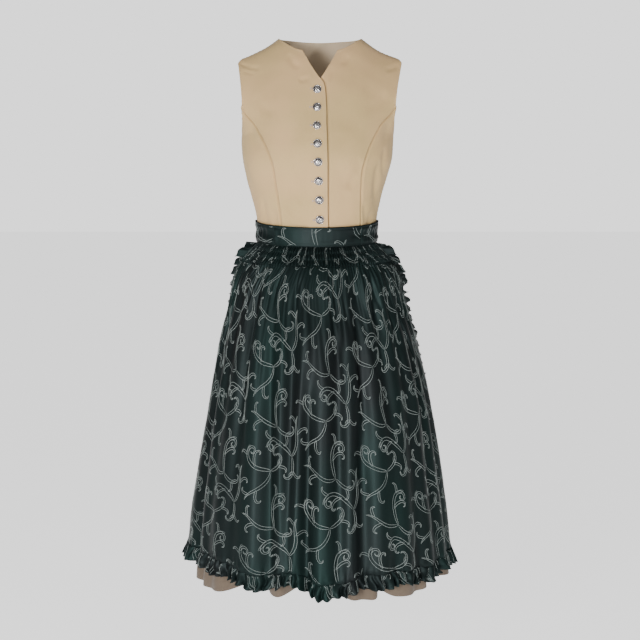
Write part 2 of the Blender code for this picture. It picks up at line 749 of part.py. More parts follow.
def make_ruffles(satin):
    columns = spread(0, 1, HEM_WAVES * 4)
    rows = [0.0, 1.0]
    name = "apron_hem_ruffle"
    panel(name, hem_ruffle_surface, rows, lambda _: columns, RUFFLE_CLOTH, satin, facing_level)
    heights = spread(APRON_HEM, BAND_BOTTOM - 0.0015, SIDE_WAVES * 4)
    for name, side in (("apron_left_ruffle", 1), ("apron_right_ruffle", -1)):

        def surface(outward, height):
            return side_ruffle_surface(side, height, outward * side)

        columns = spread(0.0, side * 1.0, 1)
        columns.sort()
        panel(name, surface, heights, lambda _: columns, RUFFLE_CLOTH, satin, facing_level)


# --- the bow behind ------------------------------------------------------------------------------
def bow_depth():
    """How far back the bow's knot starts, just clear of the ties."""
    return along(TORSO, "back", WAIST) + BAND_CLEARANCE + BAND_CLOTH + SEAM_GAP


def make_knot(satin):
    bm = bmesh.new()
    bmesh.ops.create_cube(bm, size=1.0)
    bmesh.ops.bevel(bm, geom=bm.edges[:], offset=0.28, segments=3, profile=0.5, affect="EDGES")
    for vertex in bm.verts:
        vertex.co = Vector(c * size for c, size in zip(vertex.co, KNOT))
        vertex.co += Vector((0, bow_depth() + KNOT[1] / 2, BOW_HEIGHT))
    add_object("bow_knot", bm, satin)


def loop_surface(side, run, across):
    """A bow loop: a ribbon that runs out from the knot at 0, round its end, and back at 1."""
    angle = math.pi * (2 * run - 1)
    out = (1 + math.cos(angle)) / 2
    x = KNOT[0] / 2 + SEAM_GAP + LOOP_REACH * (out - 0.012)
    swell = (0.16 + 0.84 * math.sin(math.pi * min(1.0, out)) ** 0.7) * math.sqrt(1 - min(1.0, out) ** 6)
    swell = math.copysign(swell, angle)
    y = bow_depth() + KNOT[1] * 0.80 + LOOP_DEPTH * swell + LOOP_SLANT * (0.5 - across)
    width = LOOP_WIDTH * (0.42 + 0.58 * ease(out * 1.6))
    z = BOW_HEIGHT - LOOP_DROOP * out**1.5 + width * (across - 0.5)
    return Vector((side * x, y, z))


def tail_surface(side, across, height):
    """A tie end that hangs from the knot over the skirt's back."""
    fall = (BOW_HEIGHT - height) / (BOW_HEIGHT - TAIL_END)
    width = TAIL_WIDTH * (TAIL_NARROW + (1 - TAIL_NARROW) * ease(fall * 2.6))
    x = TAIL_START_X + TAIL_SPREAD * fall + width * (across - 0.5)
    depth = along(BELL, "back", height)
    half = along(BELL, "left", height)
    y = depth * math.sqrt(1 - (x / half) ** 2) + TAIL_CLEARANCE
    y = max(y, bow_depth() + KNOT[1] * 0.5 - 0.002 * fall)
    y += TAIL_WAVE * math.sin(2 * math.pi * (across * 1.5 + fall)) * ease(fall * 3)
    return Vector((side * x, y, height + waist_tilt(180, height)))


def make_bow(satin):
    make_knot(satin)
    runs = spread(0.035, 0.965, 16)
    for name, side in (("bow_left_loop", 1), ("bow_right_loop", -1)):
        ordered = runs if side > 0 else runs[::-1]
        grid = [[loop_surface(side, run, across) for run in ordered] for across in (0.0, 0.5, 1.0)]
        wall(name, grid, grid_normals(grid), RUFFLE_CLOTH, satin)
    rows = spread(TAIL_END, BOW_HEIGHT - KNOT[2] / 2 - SEAM_GAP - 0.0098, 7)
    for name, side in (("bow_left_tail", 1), ("bow_right_tail", -1)):
        shares = spread(0, 1, 4)
        if side > 0:
            shares.reverse()
        grid = [[tail_surface(side, a, height) for a in shares] for height in rows]
        wall(name, grid, grid_normals(grid), RUFFLE_CLOTH, satin)


def grid_normals(grid):
    """Normals of a grid of points, from its neighbours, for rows that run up."""
    rows, columns = len(grid), len(grid[0])
    found = []
    for i in range(rows):
        found.append([])
        for j in range(columns):
            ahead = grid[i][min(columns - 1, j + 1)] - grid[i][max(0, j - 1)]
            above = grid[min(rows - 1, i + 1)][j] - grid[max(0, i - 1)][j]
            found[i].append(ahead.cross(above).normalized())
    return found


def main():
    for obj in list(bpy.data.objects):
        bpy.data.objects.remove(obj)
    cloth = material("beige_cloth", BEIGE, 0.85)
    satin = material("green_satin", BOTTLE_GREEN, 0.35)
    metal = material("old_silver", OLD_SILVER, 0.30, 1.0)
    make_buttons(metal, make_bodice(cloth))
    make_skirt(cloth)
    make_band(satin)
    make_apron(satin)
    make_ruffles(satin)
    make_bow(satin)


main()
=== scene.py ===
import json
import math
import random
from collections import namedtuple

import bpy
import numpy as np
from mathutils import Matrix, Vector

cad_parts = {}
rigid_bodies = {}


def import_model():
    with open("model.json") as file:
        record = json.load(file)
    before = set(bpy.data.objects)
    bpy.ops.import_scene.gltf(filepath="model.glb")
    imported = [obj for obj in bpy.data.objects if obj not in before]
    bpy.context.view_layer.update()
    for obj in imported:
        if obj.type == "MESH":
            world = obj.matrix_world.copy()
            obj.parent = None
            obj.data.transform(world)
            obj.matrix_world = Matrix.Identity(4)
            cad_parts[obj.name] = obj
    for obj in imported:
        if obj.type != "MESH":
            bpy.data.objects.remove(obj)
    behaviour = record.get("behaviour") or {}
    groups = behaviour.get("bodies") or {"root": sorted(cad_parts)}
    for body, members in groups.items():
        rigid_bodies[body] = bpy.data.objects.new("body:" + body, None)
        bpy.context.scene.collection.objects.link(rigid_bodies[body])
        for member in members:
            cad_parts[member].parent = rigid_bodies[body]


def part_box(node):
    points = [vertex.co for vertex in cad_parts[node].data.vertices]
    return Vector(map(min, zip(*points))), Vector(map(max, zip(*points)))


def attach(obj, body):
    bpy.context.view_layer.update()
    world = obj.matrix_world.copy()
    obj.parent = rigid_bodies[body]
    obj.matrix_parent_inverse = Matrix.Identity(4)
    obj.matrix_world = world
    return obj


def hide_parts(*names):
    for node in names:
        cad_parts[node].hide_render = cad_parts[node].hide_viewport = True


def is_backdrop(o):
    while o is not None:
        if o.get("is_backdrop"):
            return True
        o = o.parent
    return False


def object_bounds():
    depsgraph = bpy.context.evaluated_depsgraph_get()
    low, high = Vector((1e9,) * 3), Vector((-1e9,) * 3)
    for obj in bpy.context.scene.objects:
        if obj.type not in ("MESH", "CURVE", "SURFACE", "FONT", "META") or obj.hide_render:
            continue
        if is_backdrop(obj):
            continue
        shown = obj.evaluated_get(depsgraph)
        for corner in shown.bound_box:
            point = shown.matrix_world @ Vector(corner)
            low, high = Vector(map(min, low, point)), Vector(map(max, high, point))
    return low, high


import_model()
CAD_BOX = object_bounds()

# A dirndl dress with its gathered apron. Metres, +Z up, the front faces -Y and the wearer's left is +X.
# Turn is in degrees around the body, 0 at the centre front and 90 at the wearer's left side.
# Each cloth piece starts as a grid of points: rows run up, columns run towards the wearer's left.

# --- sizes ---------------------------------------------------------------------------------------
BODICE_CLOTH = 0.0016
SKIRT_CLOTH = 0.0012
APRON_CLOTH = 0.0010
RUFFLE_CLOTH = 0.0008
BAND_CLOTH = 0.0022

WAIST = -0.388
UNDERARM = -0.166
SKIRT_HEM = -1.147
APRON_HEM = -1.100
WAIST_TILT = 0.010
TILT_ENDS_ABOVE = -0.300
TILT_ENDS_BELOW = -0.620

NECK_POINT = (0.0905, 0.041)
SHOULDER_TIP = (0.179, -0.005)
NOTCH_BOTTOM = -0.0505
NOTCH_CORNER = (0.038, 0.0125)
NOTCH_CURVE = 1.15
NECK_RISE = 0.028
BACK_NECK_DIP = 0.0045
SCOOP = 1.5
ARMHOLE_SCOOP = 0.0045
# How the chest and the back curve out below the shoulders, and flatten towards the arms.
CHEST_CURVE = (0.225, 0.05)
BACK_CURVE = (0.300, -0.150)
ARM_FLATTENING = 0.30
ARM_REACH = 0.17
LEAST_DEPTH = 0.0002
TIP_ROUNDING = 0.0060
TIP_STARTS = 0.945
SHOULDER_SAG = 0.0058

# The half width of the front that a share of 1 stands for.
HALF_FRONT = 0.20
LAP_RISE = 0.0024
LAP_STARTS = 0.17
LAP_UNDER = 0.0125
BUTTONS = 8
BUTTON_RADIUS = 0.0095
BUTTON_HEIGHT = 0.0048
BUTTONHOLE = 0.017
# The share of its buttonhole that a button stands off its middle, and the threads round the hole.
BUTTON_PULL = 0.31
LIP_STITCHES = 24
BAR_STITCHES = 7
STITCH_IN = 0.0048
STITCH, STITCH_GAP = 0.0026, 0.0013
STITCH_THREAD, HOLE_THREAD = 0.00030, 0.00026
# Levels on the bodice: 0 at the waist, 1 at the underarm, 2 at the neckline and the shoulder seam.
SIDE_TOP = 1.39
ARMHOLE_LEVEL = 1.34
# Shares of the way from the centre to the side at which the notch and the neckline end.
NOTCH_SHARE = 0.25
NECK_SHARE = 0.5
# Half the gap at a seam: in metres on the bodice and the band, and in degrees on the skirt.
MEETING = 0.00035
SKIRT_MEETING = 0.01
# How far the band runs from the body's middle, which turns its half gap into degrees.
WAIST_REACH = 0.12

BAND_TOP = -0.369
BAND_BOTTOM = -0.409
BAND_SIDE_TOP = 0.0035
BAND_CLEARANCE = 0.0032
BAND_ENDS = 45.0
KNOT_ENDS = 3.0
TIE_CREASE = 0.0021
SMOCK_BOTTOM = -0.4495
SMOCK_ROWS = 3
PUFF = 0.0033
SEAM_PUCKER = 0.0016
GATHER_LIFT = 0.0018
GATHERS = 66
APRON_FULLNESS = 1.20

RUFFLE_DROP = 0.030
HEM_WAVES = 58
HEM_PUCKER = 0.0015
HEM_FLARE = 0.0062
HEM_SWING = 0.0072
SIDE_WAVES = 34
RUFFLE_WIDTH = 0.022
RUFFLE_LEAN = (74, 9)
RUFFLE_LEAN_ENDS = 0.062
RUFFLE_SEAM = 0.0008
RUFFLE_SWING = 0.0068
PRESSED_BELOW = -0.53

HEM_TURN = 0.028
SKIRT_SEAM = 100
SKIRT_COMES_OUT = 112
SKIRT_IS_OUT = 130
BACK_GATHERS = 16
BACK_GATHER_DEPTH = 0.0026
FINE_GATHERS = 46

BOW_HEIGHT = -0.379
BOW_GAP = 0.0003
KNOT = (0.030, 0.020, 0.036)
LOOP_REACH = 0.105
LOOP_DEPTH = 0.014
LOOP_WIDTH = 0.050
LOOP_CUT = 0.23
TAIL_WIDTH = 0.052
TAIL_END = -0.760

# --- how fine the grids are: rows up or columns across -------------------------------------------
PANEL_ROWS = 98
SIDE_PANEL_ROWS = 76
SKIRT_LOW_ROWS, SKIRT_HIGH_ROWS = 54, 38
SKIRT_ROWS_CHANGE = (-0.62, -0.61)
SKIRT_COLUMNS, SKIRT_BACK_COLUMNS = 210, 124
APRON_COLUMNS, APRON_ROWS = 401, 93
HEADER_COLUMNS_EACH, HEADER_ROWS = 8, 25
BAND_COLUMNS, TIE_COLUMNS, BAND_ROWS = 161, 181, 25
HEM_COLUMNS_EACH, HEM_ROWS = 14, 10
SIDE_ROWS_EACH, SIDE_COLUMNS = 10, 9
LOOP_COLUMNS, LOOP_ROWS, TAIL_ROWS = 121, 29, 111
# The gap between two cloths that meet, up or down.
JOIN = 0.0002

# How uneven each cloth lies: its height, the longest wave and a seed.
Uneven = namedtuple("Uneven", "height longest seed")
BODICE_UNEVEN = Uneven(0.0013, 0.11, 5)
SKIRT_UNEVEN = Uneven(0.0010, 0.22, 21)
APRON_UNEVEN = Uneven(0.0011, 0.30, 41)
TAIL_UNEVEN = Uneven(0.0008, 0.12, 61)

# --- colours, light and camera -------------------------------------------------------------------
WEAVE_PITCH = 0.0010
SATIN_PITCH = 0.0011
BEIGE_LOW = (0.370, 0.255, 0.112, 1.0)
BEIGE_HIGH = (0.485, 0.342, 0.160, 1.0)
BEIGE_WARM = (0.500, 0.312, 0.158, 1.0)
# The bodice's inner side: a paler, greyer beige, lightened as painted light for the inside of the neck, which
# lies in shade.
LINING_LOW_PAINTED_LIGHT = (0.450, 0.352, 0.240, 1.0)
LINING_HIGH_PAINTED_LIGHT = (0.535, 0.425, 0.300, 1.0)
# The skirt's cloth: a darker taupe beige, darkened further as painted shade for its hem, which hangs in shade
# behind the apron.
SKIRT_LOW_WITH_PAINTED_SHADE = (0.085, 0.063, 0.046, 1.0)
SKIRT_HIGH_WITH_PAINTED_SHADE = (0.119, 0.090, 0.065, 1.0)
GREEN_DEEP = (0.0100, 0.0122, 0.0128, 1.0)
GREEN_CLEAR = (0.0080, 0.0185, 0.0170, 1.0)
SCROLL_LOW = (0.110, 0.135, 0.128, 1.0)
SCROLL_HIGH = (0.29, 0.325, 0.31, 1.0)
STITCH_LOW = (0.30, 0.235, 0.155, 1.0)
STITCH_HIGH = (0.46, 0.37, 0.26, 1.0)
HOLE_LOW = (0.33, 0.25, 0.22, 1.0)
HOLE_HIGH = (0.50, 0.40, 0.37, 1.0)
SILVER_LOW = (0.22, 0.20, 0.20, 1.0)
SILVER_HIGH = (0.80, 0.78, 0.76, 1.0)
RECESS_LOW = (0.060, 0.050, 0.050, 1.0)
RECESS_HIGH = (0.34, 0.32, 0.32, 1.0)
FLOOR_LOW = (0.86, 0.86, 0.86, 1.0)
FLOOR_HIGH = (0.90, 0.90, 0.90, 1.0)
FLOOR_GLOW = 1.29
FLOOR_SIZE = 60
FLOOR_HEIGHT = -1.45
# How bright the sky is as a light and behind the dress, and the soft sun overhead.
SKY_LIGHT = 0.27
SKY_SEEN = 1.65
SUN_POWER = 0.3
SUN_SPREAD = 70
Lamp = namedtuple("Lamp", "name place aim size power")
LAMPS = (
    Lamp("key", (-1.0, -3.0, -0.48), (0, 0, -0.4), 0.85, 104),
    Lamp("low", (0.8, -2.8, -0.75), (0, 0, -0.3), 0.28, 24),
)
CAMERA_PLACE = (0, -3.2, -0.2664)
CAMERA_DIP = 5.547
CAMERA_LENS = 81.08

# --- tables of the shapes ------------------------------------------------------------------------
# Half widths and depths of the ovals that the bodice and the skirt are laid on.
Section = namedtuple("Section", "height right left front back")
TORSO = (
    Section(-0.388, 0.1365, 0.1225, 0.098, 0.084),
    Section(-0.365, 0.1385, 0.1245, 0.100, 0.085),
    Section(-0.337, 0.1430, 0.1270, 0.105, 0.089),
    Section(-0.300, 0.1510, 0.1350, 0.112, 0.094),
    Section(-0.262, 0.1615, 0.1465, 0.119, 0.099),
    Section(-0.225, 0.1700, 0.1575, 0.125, 0.104),
    Section(-0.195, 0.1715, 0.1600, 0.125, 0.106),
    Section(-0.166, 0.1700, 0.1610, 0.121, 0.106),
)
BELL = (
    Section(-0.388, 0.1365, 0.1225, 0.098, 0.084),
    Section(-0.408, 0.1405, 0.1270, 0.101, 0.088),
    Section(-0.425, 0.1540, 0.1420, 0.111, 0.101),
    Section(-0.450, 0.1740, 0.1630, 0.126, 0.119),
    Section(-0.480, 0.1890, 0.1800, 0.140, 0.137),
    Section(-0.550, 0.2080, 0.1935, 0.161, 0.165),
    Section(-0.620, 0.2255, 0.2150, 0.181, 0.190),
    Section(-0.770, 0.2530, 0.2520, 0.214, 0.228),
    Section(-0.985, 0.2880, 0.2840, 0.252, 0.268),
    Section(-1.145, 0.3020, 0.3020, 0.275, 0.292),
)
# How far inside the bell the skirt hangs.
Inset = namedtuple("Inset", "height front back")
SKIRT_INSETS = (
    Inset(-0.388, 0.0005, 0.0005),
    Inset(-0.400, 0.0030, 0.0024),
    Inset(-0.412, 0.0048, 0.0046),
    Inset(-0.430, 0.0075, 0.0022),
    Inset(-0.460, 0.0085, 0.0000),
    Inset(-1.145, 0.0090, 0.0000),
)

# Where the bodice's seams run: the share of the way from the centre to the side at each level.
SeamPoint = namedtuple("SeamPoint", "level right left")
PRINCESS = (
    SeamPoint(0.00, 0.415, 0.510),
    SeamPoint(0.19, 0.418, 0.500),
    SeamPoint(0.51, 0.415, 0.434),
    SeamPoint(0.72, 0.420, 0.424),
    SeamPoint(0.86, 0.468, 0.470),
    SeamPoint(1.00, 0.560, 0.545),
    SeamPoint(1.14, 0.700, 0.680),
    SeamPoint(1.32, 0.970, 0.970),
    SeamPoint(1.40, 1.000, 1.000),
)
BackSeamPoint = namedtuple("BackSeamPoint", "level share")
BACK_SEAM = (
    BackSeamPoint(0.00, 0.300),
    BackSeamPoint(0.40, 0.330),
    BackSeamPoint(0.75, 0.420),
    BackSeamPoint(0.93, 0.520),
    BackSeamPoint(1.16, 0.720),
    BackSeamPoint(1.32, 0.970),
    BackSeamPoint(1.40, 1.000),
)
# How far past the centre front the lapping edge runs.
LapPoint = namedtuple("LapPoint", "level past")
LAP_EDGE = (
    LapPoint(0.00, 0.0176),
    LapPoint(1.00, 0.0110),
    LapPoint(1.45, 0.0122),
    LapPoint(1.72, 0.0118),
    LapPoint(1.84, 0.0092),
    LapPoint(1.93, 0.0046),
    LapPoint(2.00, 0.0000),
)

# Folds that run down: where they start and end, their width, and their depth at three heights.
Fold = namedtuple("Fold", "waist_deg hem_deg width_deg hip middle hem")
APRON_FOLDS = (
    Fold(-86, -90, 4.6, 0.006, 0.010, 0.013),
    Fold(-72, -68, 4.6, 0.007, 0.017, 0.020),
    Fold(-59, -56, 3.8, 0.008, 0.005, 0.008),
    Fold(-45, -41, 4.4, 0.014, 0.009, 0.006),
    Fold(-30, -22, 4.2, 0.012, 0.022, 0.024),
    Fold(-16, -14, 3.4, 0.013, 0.017, 0.012),
    Fold(-5, -6, 3.4, 0.005, 0.021, 0.025),
    Fold(10, 8, 3.7, 0.012, 0.017, 0.014),
    Fold(25, 19, 4.2, 0.014, 0.022, 0.021),
    Fold(40, 34, 3.8, 0.013, 0.005, 0.010),
    Fold(54, 48, 4.4, 0.008, 0.010, 0.016),
    Fold(66, 62, 4.2, 0.008, 0.013, 0.012),
    Fold(77, 76, 4.2, 0.006, 0.010, 0.014),
    Fold(86, 92, 4.4, 0.003, 0.008, 0.012),
)
BACK_FOLDS = (
    Fold(112, 110, 4.6, 0.006, 0.013, 0.018),
    Fold(125, 124, 4.4, 0.009, 0.017, 0.022),
    Fold(139, 140, 4.8, 0.008, 0.019, 0.026),
    Fold(153, 154, 4.0, 0.010, 0.012, 0.016),
    Fold(166, 169, 4.6, 0.009, 0.020, 0.027),
    Fold(181, 184, 4.2, 0.010, 0.014, 0.018),
    Fold(195, 198, 4.8, 0.009, 0.020, 0.026),
    Fold(209, 212, 4.2, 0.010, 0.013, 0.017),
    Fold(223, 226, 4.8, 0.008, 0.019, 0.025),
    Fold(236, 239, 4.2, 0.008, 0.015, 0.020),
    Fold(249, 252, 4.4, 0.006, 0.012, 0.016),
)
# Where the skirt's hem falls back behind the apron's, and how much it rises there.
SKIRT_RECESSES = (
    Fold(-93, -93, 12.0, 0.0, 0.004, 0.064),
    Fold(-38, -38, 6.0, 0.0, 0.005, 0.060),
    Fold(-29, -29, 4.6, 0.0, 0.004, 0.060),
    Fold(-9, -9, 7.5, 0.0, 0.004, 0.066),
    Fold(4, 4, 7.0, 0.0, 0.004, 0.060),
    Fold(29, 29, 3.2, 0.0, 0.002, 0.044),
    Fold(66, 66, 9.0, 0.0, 0.004, 0.046),
)
RECESS_LIFT = 0.30
# How much higher than its lowest fold the apron's hem hangs on the way round.
HemPoint = namedtuple("HemPoint", "turn rise")
HEM_LINE = (
    HemPoint(-109, 0.036),
    HemPoint(-90, 0.032),
    HemPoint(-72, 0.028),
    HemPoint(-50, 0.026),
    HemPoint(-37, 0.015),
    HemPoint(-27, 0.005),
    HemPoint(-20, 0.009),
    HemPoint(-14, 0.016),
    HemPoint(-8, 0.011),
    HemPoint(-2, -0.005),
    HemPoint(4, -0.005),
    HemPoint(9, -0.007),
    HemPoint(14, 0.002),
    HemPoint(20, 0.009),
    HemPoint(26, 0.009),
    HemPoint(33, 0.012),
    HemPoint(40, 0.006),
    HemPoint(46, 0.009),
    HemPoint(53, 0.005),
    HemPoint(62, 0.010),
    HemPoint(75, 0.012),
    HemPoint(105, 0.018),
)
HIP_HEIGHT, MIDDLE_HEIGHT = -0.58, -0.87

# The turns at which the apron's side edges hang.
EdgeTurn = namedtuple("EdgeTurn", "height right left")
APRON_EDGES = (
    EdgeTurn(-0.409, -76.0, 71.0),
    EdgeTurn(-0.450, -84.0, 76.0),
    EdgeTurn(-0.500, -96.0, 83.0),
    EdgeTurn(-0.600, -104.0, 93.0),
    EdgeTurn(-0.850, -108.0, 102.0),
    EdgeTurn(-1.125, -109.0, 105.0),
)

# Creases of the bodice, from place to place in x and z: a trough where depth is above 0 and a ridge
# where it is below. Each bows to one side.
CREASE_SCALE = 2.0
Crease = namedtuple("Crease", "x z to_x to_z depth width bow")
FRONT_CREASES = (
    Crease(-0.176, -0.012, -0.128, -0.026, 0.0014, 0.0040, 0.004),
    Crease(-0.168, -0.030, -0.140, -0.036, 0.0009, 0.0030, 0.002),
    Crease(0.172, -0.016, 0.138, -0.030, 0.0010, 0.0045, -0.003),
    Crease(-0.068, 0.004, -0.043, -0.028, 0.0012, 0.0075, 0.004),
    Crease(0.060, 0.002, 0.046, -0.020, 0.0009, 0.0070, -0.003),
    Crease(-0.046, -0.054, -0.020, -0.047, 0.0010, 0.0050, 0.002),
    Crease(0.016, -0.034, 0.034, -0.037, 0.0006, 0.0022, 0.001),
    Crease(0.015, -0.041, 0.031, -0.044, 0.0006, 0.0020, 0.001),
    Crease(0.014, -0.049, 0.028, -0.053, 0.0005, 0.0022, 0.001),
    Crease(0.058, -0.286, 0.090, -0.222, 0.0024, 0.0100, 0.004),
    Crease(0.070, -0.262, 0.098, -0.206, -0.0012, 0.0080, 0.003),
    Crease(0.092, -0.312, 0.099, -0.366, 0.0016, 0.0065, -0.002),
    Crease(0.128, -0.226, 0.120, -0.322, 0.0020, 0.0060, 0.004),
    Crease(0.141, -0.196, 0.138, -0.262, 0.0016, 0.0050, 0.003),
    Crease(0.112, -0.338, 0.104, -0.382, 0.0014, 0.0050, 0.001),
    Crease(-0.078, -0.314, -0.038, -0.352, 0.0011, 0.0050, 0.003),
    Crease(-0.068, -0.296, -0.034, -0.330, -0.0008, 0.0070, 0.003),
    Crease(-0.104, -0.330, -0.090, -0.376, 0.0012, 0.0050, -0.002),
    Crease(-0.122, -0.300, -0.112, -0.372, 0.0014, 0.0060, 0.003),
    Crease(-0.150, -0.150, -0.128, -0.206, 0.0011, 0.0080, 0.004),
    Crease(0.150, -0.140, 0.130, -0.196, 0.0010, 0.0080, -0.004),
    Crease(-0.140, -0.086, -0.096, -0.128, 0.0009, 0.0110, 0.006),
    Crease(0.144, -0.080, 0.098, -0.118, 0.0009, 0.0110, -0.006),
    Crease(-0.060, -0.372, -0.020, -0.362, 0.0007, 0.0040, 0.002),
    Crease(0.030, -0.366, 0.068, -0.374, 0.0008, 0.0040, 0.002),
    Crease(-0.046, -0.220, -0.046, -0.330, 0.0007, 0.0120, 0.006),
    Crease(0.044, -0.236, 0.050, -0.330, 0.0006, 0.0120, -0.005),
)
BACK_CREASES = (
    Crease(-0.172, -0.016, -0.126, -0.034, 0.0013, 0.0045, 0.004),
    Crease(0.170, -0.014, 0.120, -0.030, 0.0011, 0.0045, -0.003),
    Crease(-0.124, -0.080, -0.070, -0.120, 0.0013, 0.0110, 0.007),
    Crease(0.122, -0.072, 0.076, -0.116, 0.0014, 0.0110, -0.007),
    Crease(-0.060, -0.020, -0.052, -0.120, 0.0008, 0.0130, 0.005),
    Crease(0.050, -0.026, 0.056, -0.116, 0.0008, 0.0130, -0.004),
    Crease(-0.080, -0.300, -0.016, -0.318, 0.0017, 0.0065, 0.005),
    Crease(0.084, -0.306, 0.022, -0.324, 0.0015, 0.0065, 0.004),
    Crease(-0.070, -0.330, -0.012, -0.342, 0.0014, 0.0055, 0.004),
    Crease(0.072, -0.336, 0.018, -0.346, 0.0013, 0.0055, 0.003),
    Crease(-0.110, -0.280, -0.070, -0.352, 0.0014, 0.0080, 0.004),
    Crease(0.106, -0.276, 0.072, -0.350, 0.0013, 0.0080, -0.004),
    Crease(-0.040, -0.200, -0.034, -0.290, 0.0007, 0.0120, 0.004),
    Crease(0.042, -0.206, 0.036, -0.294, 0.0008, 0.0120, -0.004),
    Crease(-0.132, -0.170, -0.110, -0.240, 0.0010, 0.0090, 0.004),
    Crease(0.130, -0.166, 0.108, -0.236, 0.0010, 0.0090, -0.004),
)

# Soft creases of the apron: across in metres of its cloth from the middle, then height.
APRON_CREASES = (
    Crease(-0.560, -0.470, -0.520, -0.700, 0.0030, 0.010, 0.010),
    Crease(-0.470, -0.460, -0.455, -0.640, 0.0026, 0.009, -0.008),
    Crease(-0.395, -0.455, -0.420, -0.780, 0.0030, 0.011, 0.012),
    Crease(-0.330, -0.640, -0.360, -0.980, -0.0026, 0.016, 0.010),
    Crease(-0.260, -0.455, -0.235, -0.690, 0.0032, 0.010, -0.010),
    Crease(-0.205, -0.520, -0.190, -0.860, -0.0030, 0.014, 0.012),
    Crease(-0.150, -0.455, -0.165, -0.760, 0.0030, 0.010, 0.010),
    Crease(-0.085, -0.456, -0.070, -0.650, 0.0028, 0.009, 0.008),
    Crease(-0.020, -0.480, -0.010, -0.900, -0.0034, 0.015, -0.010),
    Crease(0.045, -0.455, 0.060, -0.720, 0.0030, 0.010, 0.010),
    Crease(0.110, -0.455, 0.100, -0.640, 0.0028, 0.009, -0.009),
    Crease(0.160, -0.540, 0.150, -0.940, -0.0030, 0.014, 0.012),
    Crease(0.215, -0.455, 0.240, -0.740, 0.0032, 0.011, 0.010),
    Crease(0.300, -0.455, 0.320, -0.660, 0.0026, 0.010, -0.012),
    Crease(0.370, -0.600, 0.400, -0.960, -0.0028, 0.018, 0.012),
    Crease(0.430, -0.455, 0.470, -0.760, 0.0030, 0.011, 0.010),
    Crease(0.520, -0.460, 0.545, -0.660, 0.0026, 0.010, 0.008),
)

BEIGE_SLOT, GREEN_SLOT, SILVER_SLOT = "beige_cloth", "green_satin", "old_silver"


# --- curves and surfaces -------------------------------------------------------------------------
def ease(x):
    """0 up to 0, 1 from 1 on, and smooth between."""
    x = np.clip(x, 0.0, 1.0)
    return x * x * (3 - 2 * x)


def swell(distance, width):
    """A soft round swelling, 1 at no distance."""
    return np.exp(-((distance / width) ** 2))


def along(table, column, at):
    """A table's column at places given by its first column, on a smooth curve through its rows."""
    rows = sorted(table, key=lambda row: row[0])
    places = np.array([row[0] for row in rows])
    values = np.array([getattr(row, column) for row in rows])
    low = np.maximum(np.arange(len(rows)) - 1, 0)
    high = np.minimum(np.arange(len(rows)) + 1, len(rows) - 1)
    slopes = (values[high] - values[low]) / (places[high] - places[low])
    at = np.clip(at, places[0], places[-1])
    k = np.clip(np.searchsorted(places, at, side="left") - 1, 0, len(rows) - 2)
    span = places[k + 1] - places[k]
    t = (at - places[k]) / span
    return (
        values[k] * (1 + 2 * t) * (1 - t) ** 2
        + slopes[k] * span * t * (1 - t) ** 2
        + values[k + 1] * t * t * (3 - 2 * t)
        + slopes[k + 1] * span * t * t * (t - 1)
    )


def place(x, y, z):
    return np.stack(np.broadcast_arrays(x, y, z), axis=-1)


def unit(vectors):
    return vectors / np.maximum(np.linalg.norm(vectors, axis=-1, keepdims=True), 1e-12)


def waist_tilt(turn, height):
    """How much higher than in front the waist runs on the way round to the back."""
    rise = WAIST_TILT * (1 - np.maximum(0.0, np.cos(np.radians(turn))))
    above = ease((TILT_ENDS_ABOVE - height) / (TILT_ENDS_ABOVE - WAIST))
    below = ease((height - TILT_ENDS_BELOW) / (WAIST - TILT_ENDS_BELOW))
    return rise * above * below


def ring(table, turn, height, out=0.0):
    """Points on a table's oval sections, moved out of them level with the ground."""
    sine, cosine = np.sin(np.radians(turn)), np.cos(np.radians(turn))
    half = np.where(sine >= 0, along(table, "left", height), along(table, "right", height))
    depth = np.where(cosine >= 0, along(table, "front", height), along(table, "back", height))
    lean_x, lean_y = sine / half, -cosine / depth
    size = np.hypot(lean_x, lean_y)
    x = half * sine + lean_x / size * out
    y = -depth * cosine + lean_y / size * out
    return place(x, y, height + waist_tilt(turn, height))


def fold_depth(folds, turn, height):
    """How far a table's folds pull the cloth in at each place."""
    down = ease((WAIST - height) / (WAIST - SKIRT_HEM))
    total = 0.0
    for fold in folds:
        centre = fold.waist_deg + (fold.hem_deg - fold.waist_deg) * down
        hip = fold.hip * ease((BAND_BOTTOM - height) / (BAND_BOTTOM - HIP_HEIGHT))
        middle = (fold.middle - fold.hip) * ease((HIP_HEIGHT - height) / (HIP_HEIGHT - MIDDLE_HEIGHT))
        hem = (fold.hem - fold.middle) * ease((MIDDLE_HEIGHT - height) / (MIDDLE_HEIGHT - SKIRT_HEM))
        total = total + (hip + middle + hem) * swell(turn - centre, fold.width_deg)
    return total


def shoulder_height(x):
    """The height of the shoulder seam, which sags a little, and of the back's top inside it."""
    slope = (SHOULDER_TIP[1] - NECK_POINT[1]) / (SHOULDER_TIP[0] - NECK_POINT[0])
    past = np.clip((x - NECK_POINT[0]) / (SHOULDER_TIP[0] - NECK_POINT[0]), 0, 1)
    sag = SHOULDER_SAG * np.sin(math.pi * past)
    return np.where(
        x >= NECK_POINT[0],
        NECK_POINT[1] + slope * (x - NECK_POINT[0]) - sag,
        NECK_POINT[1] + NECK_RISE * (1 - (x / NECK_POINT[0]) ** 2),
    )


